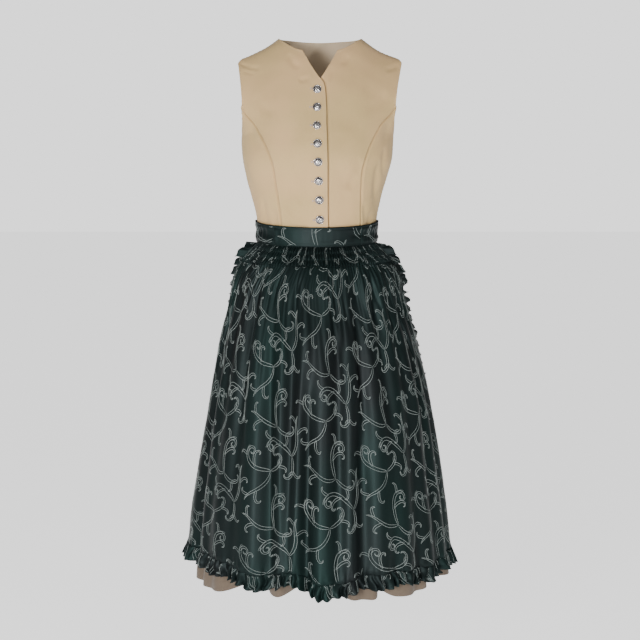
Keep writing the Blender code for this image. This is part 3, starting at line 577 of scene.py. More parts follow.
def top_edge(share, is_front):
    """x and z of the neckline up to NECK_SHARE, and of the shoulder seam from there to share 1."""
    past_neck = (share - NECK_SHARE) / (1 - NECK_SHARE)
    shoulder_x = NECK_POINT[0] + (SHOULDER_TIP[0] - NECK_POINT[0]) * past_neck
    if is_front:
        notch = share / NOTCH_SHARE
        scoop = np.clip((share - NOTCH_SHARE) / (NECK_SHARE - NOTCH_SHARE), 0, None)
        is_scoop = share >= NOTCH_SHARE
        scoop_x = NOTCH_CORNER[0] + (NECK_POINT[0] - NOTCH_CORNER[0]) * scoop
        scoop_z = NOTCH_CORNER[1] + (NECK_POINT[1] - NOTCH_CORNER[1]) * scoop**SCOOP
        notch_z = NOTCH_BOTTOM + (NOTCH_CORNER[1] - NOTCH_BOTTOM) * notch**NOTCH_CURVE
        neck_x = np.where(is_scoop, scoop_x, NOTCH_CORNER[0] * notch)
        neck_z = np.where(is_scoop, scoop_z, notch_z)
    else:
        neck_x = NECK_POINT[0] * share / NECK_SHARE
        neck_z = NECK_POINT[1] - BACK_NECK_DIP * (1 - (share / NECK_SHARE) ** 2)
    is_shoulder = share >= NECK_SHARE
    rounding = TIP_ROUNDING * np.clip((share - TIP_STARTS) / (1 - TIP_STARTS), 0, None) ** 2.5
    return (
        np.where(is_shoulder, shoulder_x, neck_x),
        np.where(is_shoulder, shoulder_height(shoulder_x) - rounding, neck_z),
    )


def chest_depth(x, z, is_front):
    """How far the chest or the back stands out from the shoulder line."""
    below = np.maximum(0.0, shoulder_height(x) - z)
    curve, slope = CHEST_CURVE if is_front else BACK_CURVE
    depth = curve * np.sqrt(below) + slope * below
    return depth * (1 - ARM_FLATTENING * np.minimum(1.0, x / ARM_REACH) ** 3)


def bodice_surface(share, level, is_front):
    """The bodice: round the body's ovals up to the underarm, and from there to the top edge."""
    share, level = np.broadcast_arrays(share, level)
    turn = share * 90 if is_front else 180 - share * 90
    lower = ring(TORSO, turn, WAIST + (UNDERARM - WAIST) * np.clip(level, 0.0, 1.0))
    base = ring(TORSO, turn, UNDERARM + 0.0 * level)
    top_x, top_z = top_edge(np.abs(share), is_front)
    up = np.clip(level - 1, 0.0, 1.0)
    base_x = np.abs(base[..., 0])
    x = base_x + (top_x - base_x) * up - ARMHOLE_SCOOP * np.sin(math.pi * up) * np.abs(share) ** 6
    z = UNDERARM + (top_z - UNDERARM) * up
    short = np.abs(base[..., 1]) - chest_depth(base_x, UNDERARM, is_front)
    depth = chest_depth(x, z, is_front) + short * (1 - np.minimum(1.0, up / 0.6)) ** 2.5
    depth = np.maximum(depth, LEAST_DEPTH)
    upper = place(np.where(share >= 0, x, -x), -depth if is_front else depth, z)
    return np.where((level <= 1)[..., None], lower, upper)


def front_surface(share, level):
    """Runs from the wearer's right at share -1 to the left at 1, and so faces out."""
    return bodice_surface(share, level, True)


def back_surface(share, level):
    """Runs from the wearer's left at share -1 to the right at 1, so that it also faces out."""
    return bodice_surface(-np.asarray(share), level, False)


def skirt_surface(turn, height):
    """The beige skirt: inside the apron in front, and out on the bell, gathered, behind."""
    signed = np.where(turn <= 180, turn, turn - 360)
    behind = ease((np.abs(signed) - SKIRT_COMES_OUT) / (SKIRT_IS_OUT - SKIRT_COMES_OUT))
    inset = along(SKIRT_INSETS, "front", height) * (1 - behind)
    inset = inset + along(SKIRT_INSETS, "back", height) * behind
    depth = fold_depth(APRON_FOLDS, signed, height) * (1 - behind)
    depth = depth + fold_depth(BACK_FOLDS, signed % 360, height)
    recess = fold_depth(SKIRT_RECESSES, signed, height)
    phase = 2 * math.pi * BACK_GATHERS * (signed % 360 - SKIRT_SEAM) / (360 - 2 * SKIRT_SEAM)
    fade = ease((WAIST - height) / 0.03) * ease((height + 0.60) / 0.14)
    fade = fade * ease((np.abs(signed) - SKIRT_SEAM) / 10)
    depth = depth + BACK_GATHER_DEPTH * (1 - np.cos(phase)) * fade
    points = ring(BELL, turn, height, -inset - depth - recess)
    points[..., 2] += RECESS_LIFT * recess
    return points


def band_surface(turn, up):
    """The waistband and its ties: up is 0 at the lower edge and 1 at the upper one."""
    side = 1 - np.maximum(0.0, np.cos(np.radians(turn)))
    height = BAND_BOTTOM + (BAND_TOP + BAND_SIDE_TOP * side - BAND_BOTTOM) * up
    points = ring(TORSO, turn, np.maximum(WAIST, height), BAND_CLEARANCE + BAND_CLOTH)
    points[..., 2] = height + waist_tilt(turn, WAIST)
    return points


def edge_turns(height):
    """The turns of the apron's right and left edges."""
    return along(APRON_EDGES, "right", height), along(APRON_EDGES, "left", height)


def apron_turn(across, height):
    """The turn at a share of the way across the apron from its right edge."""
    right, left = edge_turns(height)
    return right + (left - right) * across


def apron_surface(turn, height, out=0.0):
    """The apron on its bell, drawn in at its folds and lifted along the hem's line."""
    points = ring(BELL, turn, height, out - fold_depth(APRON_FOLDS, turn, height))
    low = ease((MIDDLE_HEIGHT - height) / (MIDDLE_HEIGHT - APRON_HEM))
    points[..., 2] += along(HEM_LINE, "rise", turn) * low
    return points


# --- grids ---------------------------------------------------------------------------------------
def grid_normals(grid):
    """Outward normals of a grid, from each point's neighbours."""
    return unit(np.cross(np.gradient(grid, axis=1), np.gradient(grid, axis=0)))


def raised(grid, relief):
    """The grid with each point moved outwards by the relief there."""
    return grid + grid_normals(grid) * relief[..., None]


def lengths(grid, axis):
    """The distance along the cloth from a grid's first row or column."""
    steps = np.linalg.norm(np.diff(grid, axis=axis), axis=-1)
    padding = [(0, 0), (0, 0)]
    padding[axis] = (1, 0)
    return np.pad(np.cumsum(steps, axis=axis), padding)


class Edges:
    """How far each point of a grid lies from the cloth's four edges."""

    def __init__(self, grid):
        across, upward = lengths(grid, 1), lengths(grid, 0)
        self.left, self.right = across, across[:, -1:] - across
        self.bottom, self.top = upward, upward[-1:] - upward
        self.across = across - across[:, across.shape[1] // 2][:, None]
        self.upward = upward


def crease_relief(points, creases):
    """How far a table's creases pull the cloth in, for points taken by their x and z."""
    x, z = points[..., 0], points[..., 2]
    total = np.zeros(x.shape)
    for crease in creases:
        run_x, run_z = crease.to_x - crease.x, crease.to_z - crease.z
        length = math.hypot(run_x, run_z)
        share = ((x - crease.x) * run_x + (z - crease.z) * run_z) / length**2
        aside = ((x - crease.x) * run_z - (z - crease.z) * run_x) / length
        aside = aside - crease.bow * np.sin(math.pi * np.clip(share, 0, 1))
        fade = ease(share / 0.30 + 0.25) * ease((1 - share) / 0.45 + 0.15)
        total += crease.depth * swell(aside, crease.width) * fade
    return total


def unevenness(points, height, longest, seed):
    """Slow swells that no flat cloth is without, from seeded waves in all directions."""
    chance = random.Random(seed)
    total = np.zeros(points.shape[:-1])
    for _ in range(9):
        wavelength = longest * (0.30 + 0.70 * chance.random())
        lean, rise = chance.uniform(0, 2 * math.pi), chance.uniform(-0.8, 0.8)
        direction = np.array([math.cos(lean), math.sin(lean), rise]) * 2 * math.pi / wavelength
        total += np.sin(points @ direction + chance.uniform(0, 2 * math.pi)) * wavelength / longest
    return total * height / 3


def border_of(index):
    """The places round a grid's border, in order."""
    return np.concatenate([index[0, :-1], index[:-1, -1], index[-1, :0:-1], index[:0:-1, 0]])


def border_outward(grid):
    """Where the cloth would go on to beyond its border, at the border's points."""
    outward = np.zeros_like(grid)
    outward[0] += grid[0] - grid[1]
    outward[-1] += grid[-1] - grid[-2]
    outward[:, 0] += unit(grid[:, 0] - grid[:, 1])
    outward[:, -1] += unit(grid[:, -1] - grid[:, -2])
    return outward.reshape(-1, 3)


def add_cloth_map(mesh, flat):
    """Gives the mesh a map in metres of flat cloth, from a pair of numbers for each vertex."""
    corners = np.empty(len(mesh.loops), dtype=np.int32)
    mesh.loops.foreach_get("vertex_index", corners)
    layer = mesh.uv_layers.new(name="cloth")
    layer.data.foreach_set("uv", flat[corners].astype(np.float32).ravel())


def cloth_piece(name, grid, thickness, finish, nodes, slot, across=None, upward=None, lightened_lining=None):
    """A closed cloth wall from a grid of outer points, with round borders and a map in metres."""
    size = grid.shape[:2]
    index = np.arange(size[0] * size[1]).reshape(size)
    border = border_of(index)
    outer = grid.reshape(-1, 3)
    inner = (grid - grid_normals(grid) * thickness).reshape(-1, 3)
    rounded = unit(border_outward(grid)[border]) * thickness / 2
    middle = (outer[border] + inner[border]) / 2 + rounded

    a, b = index[:-1, :-1].ravel(), index[:-1, 1:].ravel()
    c, d = index[1:, 1:].ravel(), index[1:, :-1].ravel()
    outer_faces = np.stack([a, b, c, d], 1)
    inner_faces = np.stack([a, d, c, b], 1) + index.size
    edge = np.arange(len(border)) + 2 * index.size
    following = np.roll(np.arange(len(border)), -1)
    upper = np.stack([border[following], border, edge, edge[following]], 1)
    inner_border = border + index.size
    lower = np.stack([edge[following], edge, inner_border, inner_border[following]], 1)
    faces = np.concatenate([outer_faces, inner_faces, upper, lower])
    vertices = np.concatenate([outer, inner, middle])
    piece = add_piece(name, vertices, faces.tolist(), finish, nodes, slot)

    edges = Edges(grid)
    u = np.broadcast_to(edges.across if across is None else across, size).ravel()
    v = np.broadcast_to(edges.upward if upward is None else upward, size).ravel()
    flat = np.stack([u, v], 1)
    add_cloth_map(piece.data, np.concatenate([flat, flat, flat[border]]))
    # Inner faces take the lining, whose lighter colour is painted light.
    if lightened_lining:
        piece.data.materials.append(lightened_lining)
        is_inner = np.zeros(len(faces), dtype=np.int32)
        is_inner[len(outer_faces) : 2 * len(outer_faces)] = 1
        piece.data.polygons.foreach_set("material_index", is_inner)
    return piece


def adopt(piece, nodes, slot):
    """Makes a piece part of the dress, in place of the nodes that it stands for."""
    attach(piece, "root")
    if nodes:
        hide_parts(*nodes)


def add_to_scene(name, data):
    made = bpy.data.objects.new(name, data)
    bpy.context.scene.collection.objects.link(made)
    return made


def add_piece(name, vertices, faces, finish, nodes, slot):
    """Adds a smooth mesh to the scene as a piece of the dress."""
    mesh = bpy.data.meshes.new(name)
    mesh.from_pydata(vertices.tolist(), [], faces)
    mesh.shade_smooth()
    mesh.materials.append(finish)
    piece = add_to_scene(name, mesh)
    adopt(piece, nodes, slot)
    return piece


# --- finishes ------------------------------------------------------------------------------------
class Value:
    """A shader value that adds a Math node when it is used in a sum or a product."""

    def __init__(self, finish, socket):
        self.finish, self.socket = finish, socket

    def maths(self, operation, *terms):
        return self.finish.node("ShaderNodeMath", {"operation": operation}, dict(enumerate(terms)))

    def __add__(self, other):
        return self.maths("ADD", self, other)

    def __sub__(self, other):
        return self.maths("SUBTRACT", self, other)

    def __rsub__(self, other):
        return self.maths("SUBTRACT", other, self)

    def __mul__(self, other):
        return self.maths("MULTIPLY", self, other)

    __radd__, __rmul__ = __add__, __mul__

    def sine(self):
        return self.maths("SINE", self)

    def between(self, low, high):
        """0 below low, 1 above high and a straight rise between."""
        settings = {"clamp": True}
        inputs = {"Value": self, "From Min": low, "From Max": high}
        return self.finish.node("ShaderNodeMapRange", settings, inputs)


class Finish:
    """A material with one Principled shader, and short ways to add nodes to it."""

    def __init__(self, name, **constants):
        self.material = bpy.data.materials.new(name)
        self.material.use_nodes = True
        self.tree = self.material.node_tree
        self.shader = self.tree.nodes["Principled BSDF"]
        for socket, value in constants.items():
            self.shader.inputs[socket.replace("_", " ")].default_value = value

    def node(self, kind, settings, inputs, output=0):
        made = self.tree.nodes.new(kind)
        for key, value in settings.items():
            setattr(made, key, value)
        for key, value in inputs.items():
            if isinstance(value, Value):
                self.tree.links.new(value.socket, made.inputs[key])
            else:
                made.inputs[key].default_value = value
        return Value(self, made.outputs[output])

    def cloth_map(self):
        return self.node("ShaderNodeUVMap", {"uv_map": "cloth"}, {})

    def object_place(self):
        return self.node("ShaderNodeTexCoord", {}, {}, "Object")

    def part(self, vector, axis):
        return self.node("ShaderNodeSeparateXYZ", {}, {0: vector}, axis)

    def stretched(self, vector, x, y, z=1.0):
        return self.node("ShaderNodeVectorMath", {"operation": "MULTIPLY"}, {0: vector, 1: (x, y, z)})

    def noise(self, vector, scale, detail=2.0):
        return self.node("ShaderNodeTexNoise", {}, {"Vector": vector, "Scale": scale, "Detail": detail})

    def mix(self, share, first, second):
        made = {"data_type": "RGBA", "clamp_factor": True}
        return self.node("ShaderNodeMix", made, {0: share, 6: first, 7: second}, 2)

    def bump(self, height, distance, strength=1.0):
        return self.node("ShaderNodeBump", {}, {"Height": height, "Distance": distance, "Strength": strength})

    def feed(self, **values):
        for socket, value in values.items():
            self.tree.links.new(value.socket, self.shader.inputs[socket.replace("_", " ")])
        return self.material


def threads(finish, flat, pitch):
    """The height of a plain weave: warp and weft threads that cross over and under."""
    u, v = finish.part(flat, 0), finish.part(flat, 1)
    turns = 2 * math.pi / pitch
    warp = (u * turns).sine() * 0.5 + 0.5
    weft = (v * turns).sine() * 0.5 + 0.5
    over = ((u * (turns / 2)).sine() * (v * (turns / 2)).sine()) * 0.5 + 0.5
    return warp * over + weft * (1 - over)


def woven_beige(name, low, high, warm):
    """Woven cloth of three mottled tones, with slubs in both directions."""
    finish = Finish(name, Roughness=0.86, Sheen_Weight=0.12, Sheen_Roughness=0.5, Specular_IOR_Level=0.22)
    flat = finish.cloth_map()
    mottle = finish.noise(finish.object_place(), 13.0, 3.0)
    warp_slubs = finish.noise(finish.stretched(flat, 1500.0, 70.0), 1.0)
    weft_slubs = finish.noise(finish.stretched(flat, 70.0, 1500.0), 1.0)
    slubs = warp_slubs * 0.5 + weft_slubs * 0.5
    weave = threads(finish, flat, WEAVE_PITCH)
    shade = mottle * 0.55 + slubs * 0.75 + weave * 0.10 - 0.22
    colour = finish.mix(shade.between(0.15, 0.85), low, high)
    patches = finish.noise(finish.object_place(), 6.0, 2.0).between(0.40, 0.68)
    colour = finish.mix(patches * 0.8, colour, warm)
    height = weave * 0.5 + slubs * 0.9
    return finish.feed(Base_Color=colour, Normal=finish.bump(height, 0.00022, 0.75))


def dark_satin():
    """Dark green satin, streaked along its warp."""
    finish = Finish("green_satin", Metallic=0.55, Specular_IOR_Level=0.08)
    flat = finish.cloth_map()
    drift = finish.noise(finish.stretched(finish.object_place(), 1.0, 1.0, 0.35), 9.0, 2.0)
    streaks = finish.noise(finish.stretched(flat, 1800.0, 110.0), 1.0)
    cross = finish.noise(finish.stretched(flat, 120.0, 1600.0), 1.0)
    twill = ((finish.part(flat, 0) * 0.6 + finish.part(flat, 1)) * (2 * math.pi / SATIN_PITCH)).sine()
    colour = finish.mix(drift.between(0.30, 0.72), GREEN_DEEP, GREEN_CLEAR)
    roughness = drift * 0.10 + streaks * 0.12 + 0.36
    height = streaks * 0.6 + cross * 0.35 + twill * 0.10
    return finish.feed(Base_Color=colour, Roughness=roughness, Normal=finish.bump(height, 0.00010, 0.6))


def scroll_thread():
    finish = Finish("scroll_thread", Roughness=0.55, Sheen_Weight=0.1, Specular_IOR_Level=0.35)
    fleck = finish.noise(finish.object_place(), 620.0, 2.0)
    drift = finish.noise(finish.object_place(), 16.0, 1.0)
    shade = fleck * 0.40 + drift * 0.65
    colour = finish.mix(shade.between(0.32, 0.80), SCROLL_LOW, SCROLL_HIGH)
    return finish.feed(Base_Color=colour, Normal=finish.bump(fleck, 0.00015, 0.6))


def sewing_thread(name, low, high):
    finish = Finish(name, Roughness=0.62)
    fleck = finish.noise(finish.object_place(), 900.0, 2.0)
    colour = finish.mix(fleck.between(0.30, 0.70), low, high)
    return finish.feed(Base_Color=colour, Normal=finish.bump(fleck, 0.00008, 0.5))


def worn_silver(name, low, high, roughness):
    finish = Finish(name, Metallic=1.0)
    tarnish = finish.noise(finish.object_place(), 420.0, 3.0)
    scuffs = finish.noise(finish.stretched(finish.object_place(), 1.0, 1.0, 3.0), 1500.0, 2.0)
    colour = finish.mix(tarnish.between(0.35, 0.68), low, high)
    wear = scuffs * 0.10 + roughness
    return finish.feed(Base_Color=colour, Roughness=wear, Normal=finish.bump(scuffs, 0.00003, 0.4))


def pale_floor():
    glow = {"Emission_Color": FLOOR_HIGH, "Emission_Strength": FLOOR_GLOW}
    finish = Finish("pale_floor", Roughness=0.9, Specular_IOR_Level=0.1, **glow)
    speck = finish.noise(finish.object_place(), 3.0, 2.0)
    return finish.feed(Base_Color=finish.mix(speck, FLOOR_LOW, FLOOR_HIGH))


# --- thread --------------------------------------------------------------------------------------
def capsules(name, runs, radius, finish, slot):
    """Short threads, each a closed six-sided bead from one point to another, as one joined mesh."""
    sides, shape = 6, ((0.02, 0.55), (0.16, 1.0), (0.84, 1.0), (0.98, 0.55))
    starts = np.array([run[0] for run in runs])
    ends = np.array([run[1] for run in runs])
    ups = unit(np.array([run[2] for run in runs]))
    ahead = unit(ends - starts)
    across = unit(np.cross(ahead, ups))
    up = np.cross(across, ahead)
    rings = []
    for share, size in shape:
        centre = starts + (ends - starts) * share
        for k in range(sides):
            angle = 2 * math.pi * k / sides
            rings.append(centre + (across * math.cos(angle) + up * math.sin(angle)) * radius * size)
    vertices = np.stack([starts, *rings, ends], axis=1)
    faces = []
    last = 1 + sides * len(shape)
    for k in range(sides):
        following = (k + 1) % sides
        faces.append((0, 1 + following, 1 + k))
        for level in range(len(shape) - 1):
            a, b = 1 + level * sides + k, 1 + level * sides + following
            faces.append((a, b, b + sides, a + sides))
        faces.append((last, last - sides + k, last - sides + following))
    step = last + 1
    all_faces = [tuple(v + i * step for v in face) for i in range(len(runs)) for face in faces]
    return add_piece(name, vertices.reshape(-1, 3), all_faces, finish, (), slot)


def level_line(grid, distances, wanted, axis):
    """The line of points on a grid that lie a wanted distance from one of its edges."""
    if axis == 0:
        grid, distances = grid.transpose(1, 0, 2), distances.T
    line = []
    for points, row in zip(grid, distances):
        order = np.argsort(row)
        line.append([np.interp(wanted, row[order], points[order, k]) for k in range(3)])
    return np.array(line)


def stitch_line(line, outward, length, gap):
    """Runs of thread along a line, laid at its given outward directions."""
    steps = np.concatenate([[0], np.cumsum(np.linalg.norm(np.diff(line, axis=0), axis=1))])

    def at(distance):
        spot = np.array([np.interp(distance, steps, line[:, k]) for k in range(3)])
        up = np.array([np.interp(distance, steps, outward[:, k]) for k in range(3)])
        return spot, unit(up)

    runs, run = [], gap
    while run + length < steps[-1]:
        (start, up), (end, _) = at(run), at(run + length)
        runs.append((start, end, up))
        run += length + gap
    return runs


# --- the bodice ----------------------------------------------------------------------------------
# Where a panel's grid is finer: shares across from its edges, and levels below its top.
EDGE_STEPS = np.array([0.0, 0.004, 0.009, 0.015, 0.022, 0.030, 0.040])
TOP_STEPS = np.array([0.0, 0.004, 0.009, 0.015, 0.022, 0.030, 0.040, 0.052, 0.066, 0.082])
# The level from which each kind of edge is turned in and stitched; below it, it is a seam.
OPEN_FROM = {"seam": 2.5, "front": ARMHOLE_LEVEL, "side": 1.0, "lap": -1.0}
SEAM_DEPTH, SEAM_WIDTH = 0.0028, 0.0019
TURNED_RISE, TURNED_GROOVE = 0.00045, 0.0005
LAP_GROOVE, LAP_GROOVE_WIDTH, LAP_GROOVE_PAST = 0.0052, 0.0026, 0.0010
Panel = namedtuple("Panel", "name top left right columns left_kind right_kind flat area")


def seam_edge(distance, run):
    """A pressed seam: the cloth rolls in towards it, with small uneven puckers beside it."""
    pucker = 0.00025 * np.sin(run * 700 + 1.6 * np.sin(run * 57)) * swell(distance - 0.0045, 0.0035)
    return pucker - SEAM_DEPTH * swell(distance, SEAM_WIDTH) + 0.0005 * swell(distance - 0.0050, 0.0022)


def turned_edge(distance):
    """A turned edge: two layers thick, with a stitched line inside it."""
    thick = TURNED_RISE * (1 - ease((distance - STITCH_IN) / 0.0022))
    return thick - TURNED_GROOVE * swell(distance - STITCH_IN, 0.0009)


def sew(grid, distances, axis, start, end):
    """Stitches beside an edge, from one row or column of the grid to another."""
    line = level_line(grid, distances, STITCH_IN, axis)[start:end]
    outward = level_line(grid_normals(grid), distances, STITCH_IN, axis)[start:end]
    return stitch_line(line, outward, STITCH, STITCH_GAP)


def make_panel(panel, finish, lightened_lining, runs):
    """One panel of the bodice; the stitches along its open edges are added to the runs."""
    is_front, has_neckline = "front" in panel.name, panel.top == 2
    rows = np.linspace(0, panel.top, SIDE_PANEL_ROWS)
    if has_neckline:
        rows = np.concatenate([np.linspace(0, panel.top, PANEL_ROWS), panel.top - TOP_STEPS])
        rows = np.unique(np.round(rows, 5))
    middle = np.linspace(0.05, 0.95, panel.columns)
    across = np.concatenate([EDGE_STEPS, middle, 1 - EDGE_STEPS[::-1]])
    level = rows[:, None]
    left, right = panel.left(level), panel.right(level)
    share = left + (right - left) * across[None, :]
    grid = front_surface(share, level) if is_front else back_surface(share, level)
    normals = grid_normals(grid)
    if panel.name == "right_front":
        rise = LAP_RISE * ease((share + LAP_STARTS) / (LAP_STARTS / 2))
        grid = grid + normals * rise[..., None]

    edges = Edges(grid)
    sides = ((panel.left_kind, edges.left), (panel.right_kind, edges.right))
    creases = FRONT_CREASES if is_front else BACK_CREASES
    relief = unevenness(grid, *BODICE_UNEVEN) - CREASE_SCALE * crease_relief(grid, creases)
    for kind, distance in sides:
        is_open = ease((level - OPEN_FROM[kind]) / 0.03 + 0.5) * np.ones_like(distance)
        relief += turned_edge(distance) * is_open + seam_edge(distance, edges.upward) * (1 - is_open)
    if panel.name == "left_front":
        past_lap = (share - along(LAP_EDGE, "past", level) / HALF_FRONT) * HALF_FRONT
        relief -= LAP_GROOVE * swell(past_lap - LAP_GROOVE_PAST, LAP_GROOVE_WIDTH)
    if has_neckline:
        is_neck = np.abs(share) < NECK_SHARE
        relief += np.where(is_neck, turned_edge(edges.top), seam_edge(edges.top, edges.across))
    relief *= ease(rows / 0.02 + 0.2)[:, None]
    grid = grid + normals * relief[..., None]
    nodes = ("bodice_" + panel.name,)
    piece = cloth_piece(panel.name, grid, BODICE_CLOTH, finish, nodes, BEIGE_SLOT, lightened_lining=lightened_lining)

    if has_neckline:
        inside = (edges.left[-1] > STITCH_IN) & (edges.right[-1] > STITCH_IN)
        neckline = np.nonzero((np.abs(share[-1]) < NECK_SHARE) & inside)[0]
        runs.extend(sew(grid, edges.top, 0, neckline[0], neckline[-1]))
    below_top = len(rows) - (len(TOP_STEPS) if has_neckline else 1)
    for kind, distance in sides:
        if kind != "seam":
            start = 2 if kind == "lap" else int(np.searchsorted(rows, OPEN_FROM[kind]))
            runs.extend(sew(grid, distance, 1, start, below_top))
    return grid


def bodice_panels():
    """The panels, with the shares at which their left and right edges run at each level."""
    gap = MEETING / HALF_FRONT

    def princess(level):
        return along(PRINCESS, "left", level) - gap

    def right_princess(level):
        return -along(PRINCESS, "right", level) + gap

    def back_seam(level):
        return along(BACK_SEAM, "share", level) - gap

    def side(level):
        return 1 - gap + 0 * level

    def lap(level):
        return along(LAP_EDGE, "past", level) / HALF_FRONT

    def under_lap(level):
        return -LAP_UNDER / HALF_FRONT * ease((2.0 - level) / 0.12)

    def minus(edge):
        return lambda level: -edge(level)

    def past(edge, gaps):
        return lambda level: edge(level) + gaps * gap

    front, back = (0.23, 0.42), (0.38, 0.43)
    side_front, side_back = (0.13, 0.28), (0.15, 0.28)
    right, beyond, beyond_back = minus(side), past(right_princess, -2), past(back_seam, 2)
    return (
        Panel("right_front", 2, right_princess, lap, 73, "front", "lap", front, 0.066),
        Panel("left_front", 2, under_lap, princess, 73, "lap", "front", front, 0.066),
        Panel("right_side_front", SIDE_TOP, right, beyond, 30, "side", "seam", side_front, 0.026),
        Panel("left_side_front", SIDE_TOP, past(princess, 2), side, 30, "seam", "side", side_front, 0.022),
        Panel("back", 2, minus(back_seam), back_seam, 81, "front", "front", back, 0.110),
        Panel("left_side_back", SIDE_TOP, right, minus(beyond_back), 30, "side", "seam", side_back, 0.028),
        Panel("right_side_back", SIDE_TOP, beyond_back, side, 30, "seam", "side", side_back, 0.028),
    )


def make_bodice(cloth, lightened_lining, stitching, hole_thread):
    runs, holes = [], []
    grids = {panel.name: make_panel(panel, cloth, lightened_lining, runs) for panel in bodice_panels()}
    capsules("bodice_stitches", runs, STITCH_THREAD, stitching, BEIGE_SLOT)
    normals = grid_normals(grids["right_front"])
    for i in range(BUTTONS):
        low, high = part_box(f"button_{i + 1}")
        x, z = (low[0] + high[0]) / 2 - BUTTONHOLE * BUTTON_PULL, (low[2] + high[2]) / 2
        holes += buttonhole(grids["right_front"], normals, x, z)
    capsules("buttonhole_threads", holes, HOLE_THREAD, hole_thread, BEIGE_SLOT)


def along_cloth(up):
    """The level direction along the cloth and the one that rises, where it faces up."""
    across = unit(np.cross(np.array([0, 0, 1.0]), up))
    return across, np.cross(up, across)


def buttonhole(grid, normals, x, z):
    """Close threads over both lips of a level slit, with a bar at its outer end."""
    flat_x, flat_z = grid[..., 0], grid[..., 2]
    i, j = np.unravel_index(np.hypot(flat_x - x, flat_z - z).argmin(), flat_x.shape)
    centre, up = grid[i, j], normals[i, j]
    across, rise = along_cloth(up)
    runs = []
    for side in (-1, 1):
        for k in range(LIP_STITCHES):
            at = centre + across * BUTTONHOLE * ((k + 0.5) / LIP_STITCHES - 0.5) + up * 0.0002
            runs.append((at + rise * side * 0.0003, at + rise * side * 0.0019 + up * 0.00005, up))
    for k in range(BAR_STITCHES):
        at = centre - across * (BUTTONHOLE / 2 + 0.0004) + rise * (k - 3) * 0.00050 + up * 0.0003
        runs.append((at - across * 0.0012, at + across * 0.0010, up))
    return runs


# --- buttons -------------------------------------------------------------------------------------
def added():
    return bpy.context.view_layer.objects.active


def settle():
    bpy.ops.object.transform_apply(location=True, rotation=True, scale=True)


def button_pattern(bright, recess):
    """One domed button with a roped rim and an eight-petalled flower, lying on z = 0."""
    radius, height = BUTTON_RADIUS, BUTTON_HEIGHT
    parts = []

    def take(finish):
        part = added()
        settle()
        part.data.materials.append(finish)
        part.data.shade_smooth()
        parts.append(part)

    def ball(segments, rings, size, spot=(0, 0, 0), scale=(1, 1, 1), turn=(0, 0, 0)):
        bpy.ops.mesh.primitive_uv_sphere_add(
            segments=segments, ring_count=rings, radius=radius * size, location=spot
        )
        added().scale, added().rotation_euler = scale, turn

    def round_spots(count, reach, level):
        for k in range(count):
            angle = 2 * math.pi * k / count
            yield angle, (reach * math.cos(angle), reach * math.sin(angle), level)

    ball(48, 24, 0.93, scale=(1, 1, height * 0.78 / (radius * 0.93)))
    settle()
    bpy.ops.object.mode_set(mode="EDIT")
    bpy.ops.mesh.select_all(action="SELECT")
    bpy.ops.mesh.bisect(plane_co=(0, 0, -0.0006), plane_no=(0, 0, 1), use_fill=True, clear_inner=True)
    bpy.ops.object.mode_set(mode="OBJECT")
    take(recess)
    bpy.ops.mesh.primitive_torus_add(
        major_segments=48, minor_segments=12, major_radius=radius * 0.90, minor_radius=radius * 0.10
    )
    added().location.z = height * 0.20
    take(bright)
    for angle, spot in round_spots(28, radius * 0.90, height * 0.36):
        ball(8, 6, 0.085, spot, scale=(0.9, 1.25, 0.8), turn=(0.6, 0, angle))
        take(bright)
    for angle, spot in round_spots(8, radius * 0.47, height * 0.655):
        ball(14, 9, 0.165, spot, scale=(1.55, 0.88, 0.32), turn=(0, 0.34, angle))
        take(bright)
    ball(20, 12, 0.19, (0, 0, height * 0.80), scale=(1, 1, 0.45))
    take(bright)
    bpy.ops.mesh.primitive_cylinder_add(
        vertices=24, radius=radius * 0.30, depth=0.0022, location=(0, 0, -0.0011)
    )
    take(recess)
    bpy.ops.object.select_all(action="DESELECT")
    for part in parts:
        part.select_set(True)
    bpy.context.view_layer.objects.active = parts[0]
    bpy.ops.object.join()
    return added()


def front_outward(x, z):
    """The outward direction of the front at a place near its middle."""
    if z <= UNDERARM:
        level = (z - WAIST) / (UNDERARM - WAIST)
    else:
        level = 1 + (z - UNDERARM) / (NOTCH_BOTTOM - UNDERARM)
    step = 0.01
    shares = x / HALF_FRONT + step * np.array([[-1, 1], [-1, 1]])
    patch = front_surface(shares, level + step * np.array([[-1, -1], [1, 1]]))
    return unit(np.cross(patch[0, 1] - patch[0, 0], patch[1, 0] - patch[0, 0]))


def make_buttons(bright, recess):
    bpy.ops.object.select_all(action="DESELECT")
    pattern = button_pattern(bright, recess)
    for i in range(BUTTONS):
        node = f"button_{i + 1}"
        low, high = (np.array(corner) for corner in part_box(node))
        centre = (low + high) / 2
        up = front_outward(centre[0], centre[2])
        across, rise = along_cloth(up)
        turned = math.radians(13 * i % 45)
        first = across * math.cos(turned) + rise * math.sin(turned)
        second = np.cross(up, first)
        mesh = pattern.data.copy()
        mesh.name = f"silver_{node}"
        points = np.empty(len(mesh.vertices) * 3)
        mesh.vertices.foreach_get("co", points)
        points = points.reshape(-1, 3)
        seat = centre - up * BUTTON_HEIGHT / 2
        placed = seat + points[:, :1] * first + points[:, 1:2] * second + points[:, 2:] * up
        mesh.vertices.foreach_set("co", placed.ravel())
        mesh.update()
        adopt(add_to_scene(mesh.name, mesh), (node,), SILVER_SLOT)
    bpy.data.objects.remove(pattern)


